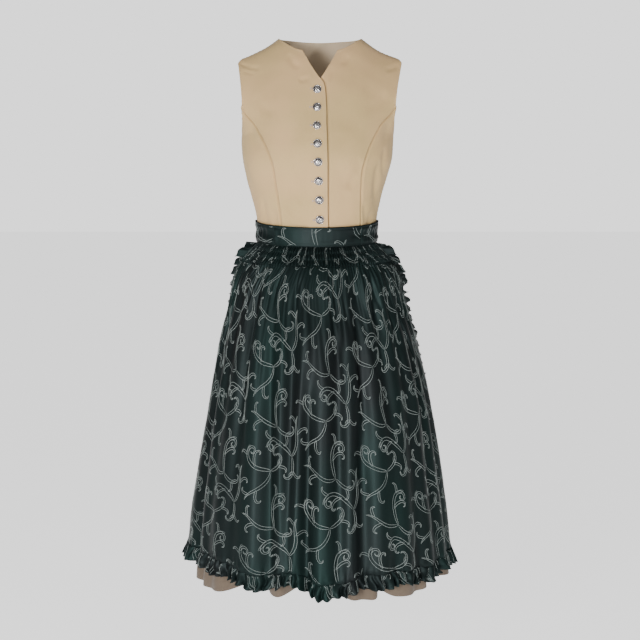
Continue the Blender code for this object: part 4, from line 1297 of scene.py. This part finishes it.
# --- the skirt -----------------------------------------------------------------------------------
def make_skirt(cloth):
    low = np.linspace(SKIRT_HEM, SKIRT_ROWS_CHANGE[0], SKIRT_LOW_ROWS)
    high = np.linspace(SKIRT_ROWS_CHANGE[1], WAIST - 0.0003, SKIRT_HIGH_ROWS)
    heights = np.concatenate([low, high])
    for name, start, end, columns, flat in (
        ("skirt_front", -SKIRT_SEAM, SKIRT_SEAM, SKIRT_COLUMNS, (1.05, 0.79)),
        ("skirt_left_back", SKIRT_SEAM, 180, SKIRT_BACK_COLUMNS, (0.46, 0.78)),
        ("skirt_right_back", 180, 360 - SKIRT_SEAM, SKIRT_BACK_COLUMNS, (0.46, 0.78)),
    ):
        is_front = name == "skirt_front"
        height = (heights[::2] if is_front else heights)[:, None]
        turns = np.linspace(start + SKIRT_MEETING, end - SKIRT_MEETING, columns)[None, :]
        grid = skirt_surface(turns, height)
        past_hem = Edges(grid).bottom - HEM_TURN
        relief = unevenness(grid, *SKIRT_UNEVEN) - 0.0005 * swell(past_hem, 0.0012)
        relief += 0.0006 * (1 - ease(past_hem / 0.004))
        if not is_front:
            relief += back_gather_relief(turns, height)
        relief *= ease((WAIST - height) / 0.02)
        piece = cloth_piece(name + "_cloth", raised(grid, relief), SKIRT_CLOTH, cloth, (name,), BEIGE_SLOT)


def back_gather_relief(turn, height):
    """Fine gathers below the waist behind, each of its own length."""
    chance = random.Random(31)
    down = np.maximum(0.0, WAIST - 0.012 - height)
    spread = 358 - 2 * SKIRT_SEAM
    total = 0.0
    for k in range(FINE_GATHERS):
        centre = SKIRT_SEAM + 1 + (k + 0.5 + chance.uniform(-0.3, 0.3)) * spread / FINE_GATHERS
        depth, length = chance.uniform(0.0012, 0.0032), chance.uniform(0.05, 0.24)
        drift, width = chance.uniform(-14, 14), chance.uniform(0.9, 1.3)
        fade = (1 - np.exp(-down / 0.010)) * np.exp(-((down / length) ** 1.5))
        total = total - depth * swell(turn - centre - drift * down, width * (1 + 4 * down)) * fade
    return total


# --- the apron -----------------------------------------------------------------------------------
def gather_table():
    """The place, depth, length, drift and width of each gather below the header."""
    chance = random.Random(11)
    return [
        (
            (k + 0.5 + chance.uniform(-0.24, 0.24)) / GATHERS,
            chance.uniform(0.0014, 0.0034),
            chance.uniform(0.045, 0.26),
            chance.uniform(-1.6, 1.6) / GATHERS,
            chance.uniform(0.25, 0.36) / GATHERS,
        )
        for k in range(GATHERS)
    ]


def gather_relief(across, height):
    """The gathers that run down from the stitched header, each of its own depth and length."""
    down = np.maximum(0.0, SMOCK_BOTTOM - height)
    total = 0.0
    for centre, depth, length, drift, width in gather_table():
        middle = centre + drift * down / 0.3
        fade = (1 - np.exp(-down / 0.005)) * np.exp(-((down / length) ** 1.6))
        total = total - depth * swell(across - middle, width * (1 + 5 * down)) * fade
    return total + GATHER_LIFT * (1 - np.exp(-down / 0.006)) * np.exp(-down / 0.16)


def header_relief(across, height):
    """Puffs between the stitched rows of the gathered header."""
    rows_down = (BAND_BOTTOM - height) / (BAND_BOTTOM - SMOCK_BOTTOM) * SMOCK_ROWS
    row = np.floor(np.clip(rows_down, 0, SMOCK_ROWS - 0.001))
    between = np.abs(np.sin(math.pi * rows_down)) ** 0.6
    phase = 2 * math.pi * (across * GATHERS + row / 2) + 0.9 * np.sin(across * 71 + row * 2.1)
    uneven = 1 + 0.35 * np.sin(across * 171 + row * 1.7) + 0.2 * np.sin(across * 397 + row)
    ends = ease(np.minimum(across, 1 - across) * GATHERS / 2)
    puffs = PUFF * between * uneven * np.sin(phase) * ends - 0.0005 * (1 - between) * ends
    return puffs + seam_puckers(across) * ease((rows_down - SMOCK_ROWS + 0.6) / 0.6)


def seam_puckers(across):
    """The puckers that run over the seam below the header."""
    ends = ease(np.minimum(across, 1 - across) * GATHERS / 2)
    return SEAM_PUCKER * np.sin(2 * math.pi * GATHERS * across + 1.2 * np.sin(across * 57)) * ends


class Drape:
    """A finished grid of cloth that finds the place and outward direction at any point of the cut."""

    def __init__(self, grid, columns, rows):
        self.grid, self.normals = grid, grid_normals(grid)
        self.columns, self.rows = columns, rows

    def at(self, column, row):
        i = np.interp(row, self.rows, np.arange(len(self.rows)))
        j = np.interp(column, self.columns, np.arange(len(self.columns)))
        i0 = np.minimum(i.astype(int), len(self.rows) - 2)
        j0 = np.minimum(j.astype(int), len(self.columns) - 2)
        s, t = (i - i0)[..., None], (j - j0)[..., None]

        def blend(values):
            low = values[i0, j0] * (1 - t) + values[i0, j0 + 1] * t
            high = values[i0 + 1, j0] * (1 - t) + values[i0 + 1, j0 + 1] * t
            return low * (1 - s) + high * s

        return blend(self.grid), unit(blend(self.normals))


def make_apron(satin):
    """The apron's panel and gathered header, each with the drape that finds places on it."""
    across = np.linspace(0, 1, APRON_COLUMNS)
    down = np.linspace(0, 1, APRON_ROWS) ** 1.2
    heights = (SMOCK_BOTTOM - JOIN - (SMOCK_BOTTOM - APRON_HEM) * down)[::-1]
    column, height = across[None, :], heights[:, None]
    cut = place((column - 0.5) * APRON_FULLNESS, 0.0 * column, height)
    relief = gather_relief(column, height) + unevenness(cut, *APRON_UNEVEN)
    relief = relief - crease_relief(cut, APRON_CREASES)
    relief += HEM_PUCKER * swell(height - APRON_HEM, 0.012) * wave(ruffle_turns(column, 0.0))
    relief *= ease((SMOCK_BOTTOM - height) / 0.004)
    relief += seam_puckers(column) * swell(SMOCK_BOTTOM - height, 0.006)
    grid = raised(apron_surface(apron_turn(column, height), height), relief)
    panel = cloth_piece(
        "apron_cloth", grid, APRON_CLOTH, satin, ("apron_panel",), GREEN_SLOT,
        across=(column - 0.5) * APRON_FULLNESS, upward=height,
    )
    panel_drape = Drape(grid, across, heights)

    across = np.linspace(0, 1, GATHERS * HEADER_COLUMNS_EACH + 1)
    heights = np.linspace(SMOCK_BOTTOM, BAND_BOTTOM - JOIN, HEADER_ROWS)
    column, height = across[None, :], heights[:, None]
    grid = ring(BELL, apron_turn(column, height), height, header_relief(column, height))
    header = cloth_piece(
        "apron_header", grid, APRON_CLOTH, satin, ("apron_smocking",), GREEN_SLOT,
        across=(column - 0.5) * APRON_FULLNESS, upward=height,
    )
    return panel, panel_drape, header, Drape(grid, across, heights)


def tie_relief(turn, up):
    """Lengthwise creases of the waistband: faint in front, and deep where the ties are drawn tight."""
    tight = 0.16 + 0.84 * ease((np.abs(180 - np.abs(turn - 180)) - 26) / 20)
    total = 0.0
    for count, speed, start in ((2.3, 0.031, 0.4), (3.6, 0.052, 2.1), (5.2, 0.083, 4.0)):
        wander = 1.5 * np.sin(turn * speed + start) + 0.8 * np.sin(turn * speed * 2.7 + start * 3)
        total = total + np.sin(2 * math.pi * count * up * 0.5 + wander) / count
    gathers = np.sin(turn * 0.9 + 3 * np.sin(turn * 0.11)) * np.sin(math.pi * up) * 0.3
    edge = np.minimum(up, 1 - up)
    return TIE_CREASE * tight * (total + gathers) * ease(edge / 0.16) - 0.0007 * swell(edge - 0.10, 0.035)


def make_band(satin):
    gap = math.degrees(MEETING / WAIST_REACH)
    ups = np.linspace(0, 1, BAND_ROWS)
    drapes = []
    for name, start, end, columns, length in (
        ("apron_band", -BAND_ENDS, BAND_ENDS, BAND_COLUMNS, 0.19),
        ("apron_left_tie", BAND_ENDS, 180 - KNOT_ENDS, TIE_COLUMNS, 0.24),
        ("apron_right_tie", 180 + KNOT_ENDS, 360 - BAND_ENDS, TIE_COLUMNS, 0.25),
    ):
        turn, up = np.meshgrid(np.linspace(start + gap, end - gap, columns), ups)
        grid = raised(band_surface(turn, up), tie_relief(turn, up))
        piece = cloth_piece(name + "_cloth", grid, BAND_CLOTH, satin, (name,), GREEN_SLOT)
        drapes.append(Drape(grid, np.linspace(0, length, columns), ups * 0.042))
    return drapes


# --- ruffles -------------------------------------------------------------------------------------
def wave(turns):
    """A ruffle's round lobes after a number of turns, with tight folds between, all uneven."""
    slow = 0.50 * np.sin(0.73 * turns) + 0.40 * np.sin(1.91 * turns + 1.0) + 0.25 * np.sin(3.3 * turns)
    lobes = 2.2 * np.abs(np.sin(math.pi * turns + slow)) ** 0.8 - 1.3
    return lobes * (1 + 0.25 * np.sin(1.37 * turns) + 0.15 * np.sin(4.1 * turns))


def ruffle_turns(across, down):
    """How many waves of the hem ruffle lie before a place; its folds lean this way and that."""
    turns = across * HEM_WAVES
    return turns + 0.34 * down * np.sin(0.61 * turns + 1) + 0.16 * np.sin(5 * down + 0.37 * turns)


def hem_ruffle(across, down):
    """The ruffle below the apron: across is from 0 to 1, and down is 0 at its seam and 1 at its edge."""
    waves = across * HEM_WAVES
    out = HEM_FLARE * down**0.8 + (HEM_PUCKER + HEM_SWING * down) * wave(ruffle_turns(across, down))
    out = out + 0.0006 * down * np.sin(2 * math.pi * (1.9 * waves + 0.5 * down))
    grid = apron_surface(apron_turn(across, np.array(APRON_HEM)), np.full_like(out, APRON_HEM), out)
    longer = 0.0026 * np.sin(0.9 * waves) + 0.0014 * np.sin(2.3 * waves + 1) + 0.0009 * wave(waves)
    grid[..., 2] -= JOIN + (RUFFLE_DROP + longer) * down
    return grid


def make_ruffles(satin):
    across = np.linspace(0, 1, HEM_WAVES * HEM_COLUMNS_EACH + 1)
    ups = np.linspace(0, 1, HEM_ROWS)
    grid = hem_ruffle(across[None, :], 1 - ups[:, None])
    piece = cloth_piece("hem_ruffle", grid, RUFFLE_CLOTH, satin, ("apron_hem_ruffle",), GREEN_SLOT)
    drapes = [Drape(grid, across * 2.1, ups * 0.032)]
    heights = np.linspace(APRON_HEM, BAND_BOTTOM - 0.0015, SIDE_WAVES * SIDE_ROWS_EACH + 1)
    outs = np.linspace(0, 1, SIDE_COLUMNS)
    for name, side in (("left_ruffle", 1), ("right_ruffle", -1)):
        grid = side_ruffle(side, heights[:, None], outs[None, ::side])
        piece = cloth_piece(name, grid, RUFFLE_CLOTH, satin, ("apron_" + name,), GREEN_SLOT)
        drapes.append(Drape(grid, outs * 0.024, (heights - APRON_HEM) * 1.32))
    return drapes


def side_ruffle(side, height, outward):
    """A side ruffle: outward is 0 at its seam and 1 at its edge. It stands off the apron at the top."""
    right, left = edge_turns(height)
    turn = left if side > 0 else right
    edge = apron_surface(turn, height)
    beyond = unit(apron_surface(turn + side * 0.5, height) - edge)
    proud = unit(ring(BELL, turn, height, 0.01) - ring(BELL, turn, height))
    fallen = ease((BAND_BOTTOM - height) / RUFFLE_LEAN_ENDS)
    lean = np.radians(RUFFLE_LEAN[0] + (RUFFLE_LEAN[1] - RUFFLE_LEAN[0]) * fallen)[..., None]
    spine = beyond * np.cos(lean) + proud * np.sin(lean)
    swing = proud * np.cos(lean) - beyond * np.sin(lean)
    waves = SIDE_WAVES * (BAND_BOTTOM - height) / (BAND_BOTTOM - APRON_HEM) + (0.3 if side > 0 else 0.0)
    ripple = (wave(waves) + 0.25 + 0.25 * np.sin(2 * math.pi * 2.1 * waves))[..., None]
    longer = (1 + 0.07 * np.sin(1.3 * waves) + 0.07 * np.sin(2 * math.pi * waves + 0.8))[..., None]
    outward = outward[..., None]
    pressed = ease((PRESSED_BELOW - height) / 0.05)[..., None]
    width = RUFFLE_WIDTH * outward * longer * (1 - 0.10 * pressed)
    ripple = RUFFLE_SWING * outward**1.2 * ripple * (1 - 0.40 * pressed)
    points = edge + beyond * RUFFLE_SEAM + spine * width + swing * ripple
    points[..., 2] += 0.0030 * (outward[..., 0] ** 1.5) * np.sin(2 * math.pi * waves + 1.9)
    return points


# --- the bow behind ------------------------------------------------------------------------------
def bow_depth():
    """How far behind the middle the bow begins."""
    return along(TORSO, "back", np.array(WAIST)) + BAND_CLEARANCE + BAND_CLOTH + BOW_GAP


def make_knot(satin):
    """The knot: a soft rounded block with the band's pleats running over it."""
    bpy.ops.object.select_all(action="DESELECT")
    bpy.ops.mesh.primitive_cube_add(size=2)
    bpy.ops.object.mode_set(mode="EDIT")
    bpy.ops.mesh.select_all(action="SELECT")
    bpy.ops.mesh.subdivide(number_cuts=25)
    bpy.ops.object.mode_set(mode="OBJECT")
    knot = added()
    mesh = knot.data
    knot.name = mesh.name = "bow_knot_cloth"
    points = np.array([vertex.co for vertex in mesh.vertices])
    points = points / (np.abs(points) ** 4.5).sum(axis=1, keepdims=True) ** (1 / 4.5)
    x, z = points[:, 0], points[:, 2]
    pinch = 1 - 0.10 * np.cos(z * 1.4)
    pleats = 0.050 * np.cos(x * 11 + 1.3 * np.sin(z * 1.6))
    pleats = pleats + 0.030 * np.cos(x * 23 + 2.0 * np.sin(z * 2.3 + 1))
    outer = 1 - 0.05 - np.abs(x) ** 6 * 0.02 + pleats * (1 - np.abs(x) ** 8)
    points = points * (np.array(KNOT) / 2) * np.stack([pinch, outer, outer], 1)
    points += np.array([0, float(bow_depth()) + KNOT[1] / 2, BOW_HEIGHT])
    mesh.vertices.foreach_set("co", points.ravel())
    mesh.update()
    for layer in list(mesh.uv_layers):
        mesh.uv_layers.remove(layer)
    add_cloth_map(mesh, points[:, [0, 2]])
    mesh.shade_smooth()
    mesh.materials.clear()
    mesh.materials.append(satin)
    adopt(knot, ("bow_knot",), GREEN_SLOT)


def bow_loop(side, run, across):
    """A loop of the bow: run goes from the knot to its end and back, across goes up."""
    angle = math.pi * (2 * run - 1)
    out = (1 + np.cos(angle)) / 2
    x = KNOT[0] / 2 + BOW_GAP + LOOP_REACH * (out - 0.012)
    fullness = (0.16 + 0.84 * np.sin(math.pi * np.minimum(1.0, out)) ** 0.7)
    fullness = fullness * np.sqrt(1 - np.minimum(1.0, out) ** 6)
    y = bow_depth() + KNOT[1] * 0.80 + LOOP_DEPTH * np.copysign(fullness, angle) + 0.010 * (0.5 - across)
    width = LOOP_WIDTH * (0.42 + 0.58 * ease(out * 1.6))
    z = BOW_HEIGHT - 0.020 * out**1.5 + width * (across - 0.5)
    return place(side * x, y, z), out


def bow_tail(side, across, height):
    """A tail of the bow, which lies on the skirt and widens below the knot."""
    fall = (BOW_HEIGHT - height) / (BOW_HEIGHT - TAIL_END)
    width = TAIL_WIDTH * (0.35 + 0.65 * ease(fall * 2.6))
    x = 0.0115 + 0.055 * fall + width * (across - 0.5)
    depth = along(BELL, "back", height)
    y = depth * np.sqrt(1 - (x / along(BELL, "left", height)) ** 2) + 0.0045
    y = np.maximum(y, bow_depth() + KNOT[1] * 0.5 - 0.002 * fall)
    y = y + 0.003 * np.sin(2 * math.pi * (across * 1.5 + fall)) * ease(fall * 3)
    return place(side * x, y, height + waist_tilt(180.0, height)), fall


def make_bow(satin):
    make_knot(satin)
    drapes = []
    runs = np.linspace(0.035, 0.965, LOOP_COLUMNS)
    widths = np.linspace(0, 1, LOOP_ROWS)
    across = widths[:, None]
    for name, side in (("left_loop", 1), ("right_loop", -1)):
        grid, out = bow_loop(side, runs[None, ::side], across)
        pleats = np.sin(2 * math.pi * (3.2 * across + 0.3 * np.sin(out * 5)) + side)
        relief = 0.0013 * pleats * (1 - out) ** 1.3 + 0.0004 * np.sin(9 * across + 8 * out)
        relief = relief * ease((runs - 0.03) / 0.1)[None, :] * ease((0.97 - runs) / 0.1)[None, :]
        grid = raised(grid, relief)
        piece = cloth_piece(name, grid, RUFFLE_CLOTH, satin, ("bow_" + name,), GREEN_SLOT)
        drapes.append(Drape(grid, np.linspace(0, LOOP_CUT, len(runs)), widths * 0.05))
    heights = np.linspace(TAIL_END, BOW_HEIGHT - KNOT[2] / 2 - 0.0101, TAIL_ROWS)
    for name, side in (("left_tail", 1), ("right_tail", -1)):
        across = widths[None, ::-side]
        grid, fall = bow_tail(side, across, heights[:, None])
        pleats = np.sin(2 * math.pi * (2.6 * across + 0.25 * np.sin(fall * 9)))
        relief = 0.0016 * pleats * np.exp(-fall * 2.2) + unevenness(grid, *TAIL_UNEVEN)
        grid = raised(grid, relief * ease(fall * 12))
        piece = cloth_piece(name, grid, RUFFLE_CLOTH, satin, ("bow_" + name,), GREEN_SLOT)
        drapes.append(Drape(grid, widths * 0.052, heights - TAIL_END))
    return drapes


# --- the scroll pattern --------------------------------------------------------------------------
# One spray of the woven scrolls, in metres of flat cloth. A stroke grows from its parent stroke at a
# share of the parent's length (or from the spray's foot where the parent is ROOT), at a heading in
# degrees from the parent's own, and bends more and more towards its end (bends in turns of 1/metres).
Stroke = namedtuple("Stroke", "parent share heading length bend_start bend_end breadth")
ROOT = -1
SPRAY = (
    Stroke(ROOT, 0.00, 62, 0.128, -7, -225, 0.0081),
    Stroke(ROOT, 0.00, 150, 0.092, -22, 60, 0.0072),
    Stroke(ROOT, 0.00, -100, 0.070, 14, 200, 0.0067),
    Stroke(0, 0.30, -42, 0.050, -16, -330, 0.0058),
    Stroke(0, 0.58, 40, 0.030, 20, 260, 0.0058),
    Stroke(0, 0.62, 4, 0.018, -40, 90, 0.0067),
    Stroke(1, 0.55, 44, 0.040, 18, 330, 0.0058),
    Stroke(1, 0.80, -36, 0.030, -10, -380, 0.0055),
    Stroke(2, 0.42, -40, 0.030, -20, -330, 0.0055),
    Stroke(2, 0.45, 30, 0.016, 20, -90, 0.0061),
)
# Where the sprays stand in one repeat, turned by degrees and mirrored where flip is -1.
Spot = namedtuple("Spot", "x y turn flip")
SPOTS = (Spot(0.038, 0.102, 113, 1), Spot(0.099, 0.135, 11, -1), Spot(0.058, 0.199, 49, 1))
REPEAT = (0.160, 0.218)
LINE_WIDTH = 0.00115
LINE_RISE = 0.00038
LINE_SUNK = 0.00012
TURN_STEP = 0.32
FINE = 400
CUT_MARGIN = 0.0010


def stroke_path(stroke, paths):
    """A stroke's centre line as shares, x, y and headings at many even steps."""
    x = y = heading = 0.0
    if stroke.parent != ROOT:
        _, xs, ys, headings = paths[stroke.parent]
        k = int(stroke.share * FINE)
        x, y, heading = xs[k], ys[k], headings[k]
    share = np.linspace(0, 1, FINE + 1)
    bending = stroke.bend_start * share + (stroke.bend_end - stroke.bend_start) * share**4 / 4
    headings = heading + math.radians(stroke.heading) + stroke.length * bending
    step = stroke.length / FINE

    def travelled(rates):
        return np.concatenate([[0], np.cumsum((rates[1:] + rates[:-1]) / 2 * step)])

    return share, x + travelled(np.cos(headings)), y + travelled(np.sin(headings)), headings


def spray_lines(longest):
    """The lines that outline a spray's strokes, their points a turn step or the longest step apart."""
    paths, lines = [], []
    for stroke in SPRAY:
        paths.append(stroke_path(stroke, paths))
        share, x, y, heading = paths[-1]
        bend = stroke.bend_start + (stroke.bend_end - stroke.bend_start) * share**3
        density = np.maximum(1 / longest, np.abs(bend) / TURN_STEP)
        needed = np.concatenate([[0], np.cumsum((density[1:] + density[:-1]) / 2) * stroke.length / FINE])
        spread = np.linspace(0, needed[-1], max(5, int(needed[-1]) + 1))
        share, x, y, heading = (np.interp(spread, needed, values) for values in paths[-1])
        half = stroke.breadth / 2 * np.sin(math.pi * np.clip(share, 0, 1) ** 0.8) ** 0.55 * (1 - 0.35 * share)
        for side in (half, -half):
            lines.append(np.stack([x - np.sin(heading) * side, y + np.cos(heading) * side], 1))
    return lines


def repeat_lines(longest):
    """The lines of one whole repeat."""
    lines = []
    for spot in SPOTS:
        cosine, sine = math.cos(math.radians(spot.turn)), math.sin(math.radians(spot.turn))
        for line in spray_lines(longest):
            x, y = line[:, 0] * spot.flip, line[:, 1]
            lines.append(np.stack([x * cosine - y * sine + spot.x, x * sine + y * cosine + spot.y], 1))
    return lines


def inside_runs(points, width, height):
    """The parts of a line that lie inside the cut, each of three points or more."""
    low = np.array([width[0], height[0]]) + CUT_MARGIN
    high = np.array([width[1], height[1]]) - CUT_MARGIN
    inside = ((points > low) & (points < high)).all(axis=1)
    start = None
    for k, is_in in enumerate([*inside, False]):
        if is_in and start is None:
            start = k
        elif not is_in and start is not None:
            if k - start >= 3:
                yield points[start:k]
            start = None


def cut_lines(width, height, shift, longest):
    """The pattern's lines over the whole cut, every other column of repeats half a repeat higher."""
    lines = repeat_lines(longest)
    spans = [
        range(math.floor((low - start) / repeat) - 2, math.ceil((high - start) / repeat) + 2)
        for (low, high), start, repeat in zip((width, height), shift, REPEAT)
    ]
    for i in spans[0]:
        for j in spans[1]:
            up = REPEAT[1] / 2 if i % 2 else 0
            corner = np.array([i * REPEAT[0] + shift[0], j * REPEAT[1] + up + shift[1]])
            for line in lines:
                yield from inside_runs(line + corner, width, height)


def scrolls(name, drape, width, height, fullness, finish, longest, shift=(0.0, 0.0)):
    """Weaves the scroll pattern over a sheet: fine raised lines that follow its folds.

    width and height are the cut's range each way, and fullness turns metres across the cut, at a
    height, into the drape's own column values.
    """
    vertices, faces, count = [], [], 0
    for line in cut_lines(width, height, shift, longest):
        ahead = unit(np.gradient(line, axis=0))
        beside = np.stack([-ahead[:, 1], ahead[:, 0]], 1)
        from_end = np.minimum(np.arange(len(line)), np.arange(len(line))[::-1])
        taper = np.minimum(1.0, from_end * 0.6 + 0.25)[:, None]
        rows = []
        for side, lift in ((1, -LINE_SUNK), (0, LINE_RISE), (-1, -LINE_SUNK)):
            spot = line + beside * side * LINE_WIDTH / 2 * taper
            points, normals = drape.at(fullness(spot[:, 0], spot[:, 1]), spot[:, 1])
            rows.append(points + normals * (lift * (taper if side == 0 else 1)))
        vertices.append(np.stack(rows, 1).reshape(-1, 3))
        base = count + 3 * np.arange(len(line) - 1)[:, None]
        quads = [base + np.array([[a, b, b + 3, a + 3]]) for a, b in ((0, 1), (1, 2), (2, 0))]
        faces += np.concatenate(quads)[:, ::-1].tolist()
        last = count + 3 * (len(line) - 1)
        faces += [[count, count + 1, count + 2], [last + 2, last + 1, last]]
        count += 3 * len(line)
    return add_piece(name, np.concatenate(vertices), faces, finish, (), GREEN_SLOT)


# --- camera, lights and floor --------------------------------------------------------------------
def area_light(lamp):
    data = bpy.data.lights.new(lamp.name, "AREA")
    data.shape, data.size, data.energy = "SQUARE", lamp.size, lamp.power
    light = add_to_scene(lamp.name, data)
    light.location = lamp.place
    light.rotation_euler = (Vector(lamp.aim) - Vector(lamp.place)).to_track_quat("-Z", "Y").to_euler()


def make_studio(floor_finish):
    world = bpy.data.worlds.new("studio")
    world.use_nodes = True
    nodes, links = world.node_tree.nodes, world.node_tree.links
    sky = nodes["Background"]
    sky.inputs["Color"].default_value = (1, 1, 1, 1)
    strength = nodes.new("ShaderNodeMapRange")
    strength.inputs["To Min"].default_value = SKY_LIGHT
    strength.inputs["To Max"].default_value = SKY_SEEN
    links.new(nodes.new("ShaderNodeLightPath").outputs["Is Camera Ray"], strength.inputs["Value"])
    links.new(strength.outputs["Result"], sky.inputs["Strength"])
    bpy.context.scene.world = world
    sun = bpy.data.lights.new("overhead", "SUN")
    sun.energy, sun.angle = SUN_POWER, math.radians(SUN_SPREAD)
    add_to_scene("overhead", sun)
    for lamp in LAMPS:
        area_light(lamp)
    bpy.ops.object.select_all(action="DESELECT")
    bpy.ops.mesh.primitive_plane_add(size=FLOOR_SIZE, location=(0, 0, FLOOR_HEIGHT))
    floor = added()
    floor.name = "floor"
    settle()
    floor.data.materials.append(floor_finish)
    floor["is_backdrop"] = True
    camera = add_to_scene("camera", bpy.data.cameras.new("camera"))
    camera.data.sensor_width, camera.data.lens = 36, CAMERA_LENS
    camera.location = CAMERA_PLACE
    camera.rotation_euler = (math.radians(90 - CAMERA_DIP), 0, 0)
    bpy.context.scene.camera = camera


def apron_share(x, height):
    """The share across the apron at x metres from the middle of its cut, which narrows to the top."""
    return 0.5 + x / (APRON_FULLNESS * (0.80 + 0.20 * ease((SMOCK_BOTTOM - height) / 0.30)))


def small_scrolls(names, drapes, thread, longest, shift=(0.0, 0.0)):
    """The pattern over small pieces, whose drapes are in metres of their own cut."""
    for name, drape in zip(names, drapes):
        width, height = (0, drape.columns[-1]), (0, drape.rows[-1])
        scrolls(name + "_scrolls", drape, width, height, lambda x, y: x, thread, longest, shift)


def main():
    beige = woven_beige("bodice_weave", BEIGE_LOW, BEIGE_HIGH, BEIGE_WARM)
    # The skirt's finish is a darker taupe, darkened further as painted shade.
    shaded = woven_beige("skirt_weave_painted_shade", SKIRT_LOW_WITH_PAINTED_SHADE, SKIRT_HIGH_WITH_PAINTED_SHADE, SKIRT_HIGH_WITH_PAINTED_SHADE)
    # The lining's lighter colour is painted light for the shaded inside of the neck.
    lightened_lining = woven_beige("bodice_lining_painted_light", LINING_LOW_PAINTED_LIGHT, LINING_HIGH_PAINTED_LIGHT, LINING_HIGH_PAINTED_LIGHT)
    satin, thread = dark_satin(), scroll_thread()
    stitching = sewing_thread("stitch_thread", STITCH_LOW, STITCH_HIGH)
    hole_thread = sewing_thread("buttonhole_thread", HOLE_LOW, HOLE_HIGH)
    bright = worn_silver("old_silver_bright", SILVER_LOW, SILVER_HIGH, 0.10)
    recess = worn_silver("old_silver_recess", RECESS_LOW, RECESS_HIGH, 0.12)
    make_studio(pale_floor())
    make_bodice(beige, lightened_lining, stitching, hole_thread)
    make_buttons(bright, recess)
    make_skirt(shaded)
    panel, panel_drape, header, header_drape = make_apron(satin)
    width = (-APRON_FULLNESS / 2, APRON_FULLNESS / 2)
    for name, piece, drape, height, flat_height, longest in (
        ("apron_scrolls", panel, panel_drape, (APRON_HEM, SMOCK_BOTTOM), 0.65, 0.0042),
        ("header_scrolls", header, header_drape, (SMOCK_BOTTOM, BAND_BOTTOM), 0.042, 0.002),
    ):
        lines = scrolls(name, drape, width, height, apron_share, thread, longest)
    small_scrolls(("band", "left_tie", "right_tie"), make_band(satin), thread, 0.003, (0.034, 0.012))
    small_scrolls(("hem_ruffle", "left_ruffle", "right_ruffle"), make_ruffles(satin), thread, 0.002)
    small_scrolls(("left_loop", "right_loop", "left_tail", "right_tail"), make_bow(satin), thread, 0.003)


main()
boxes = {"cad": CAD_BOX, "visual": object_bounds()}
{name: [list(corner) for corner in box] for name, box in boxes.items()}
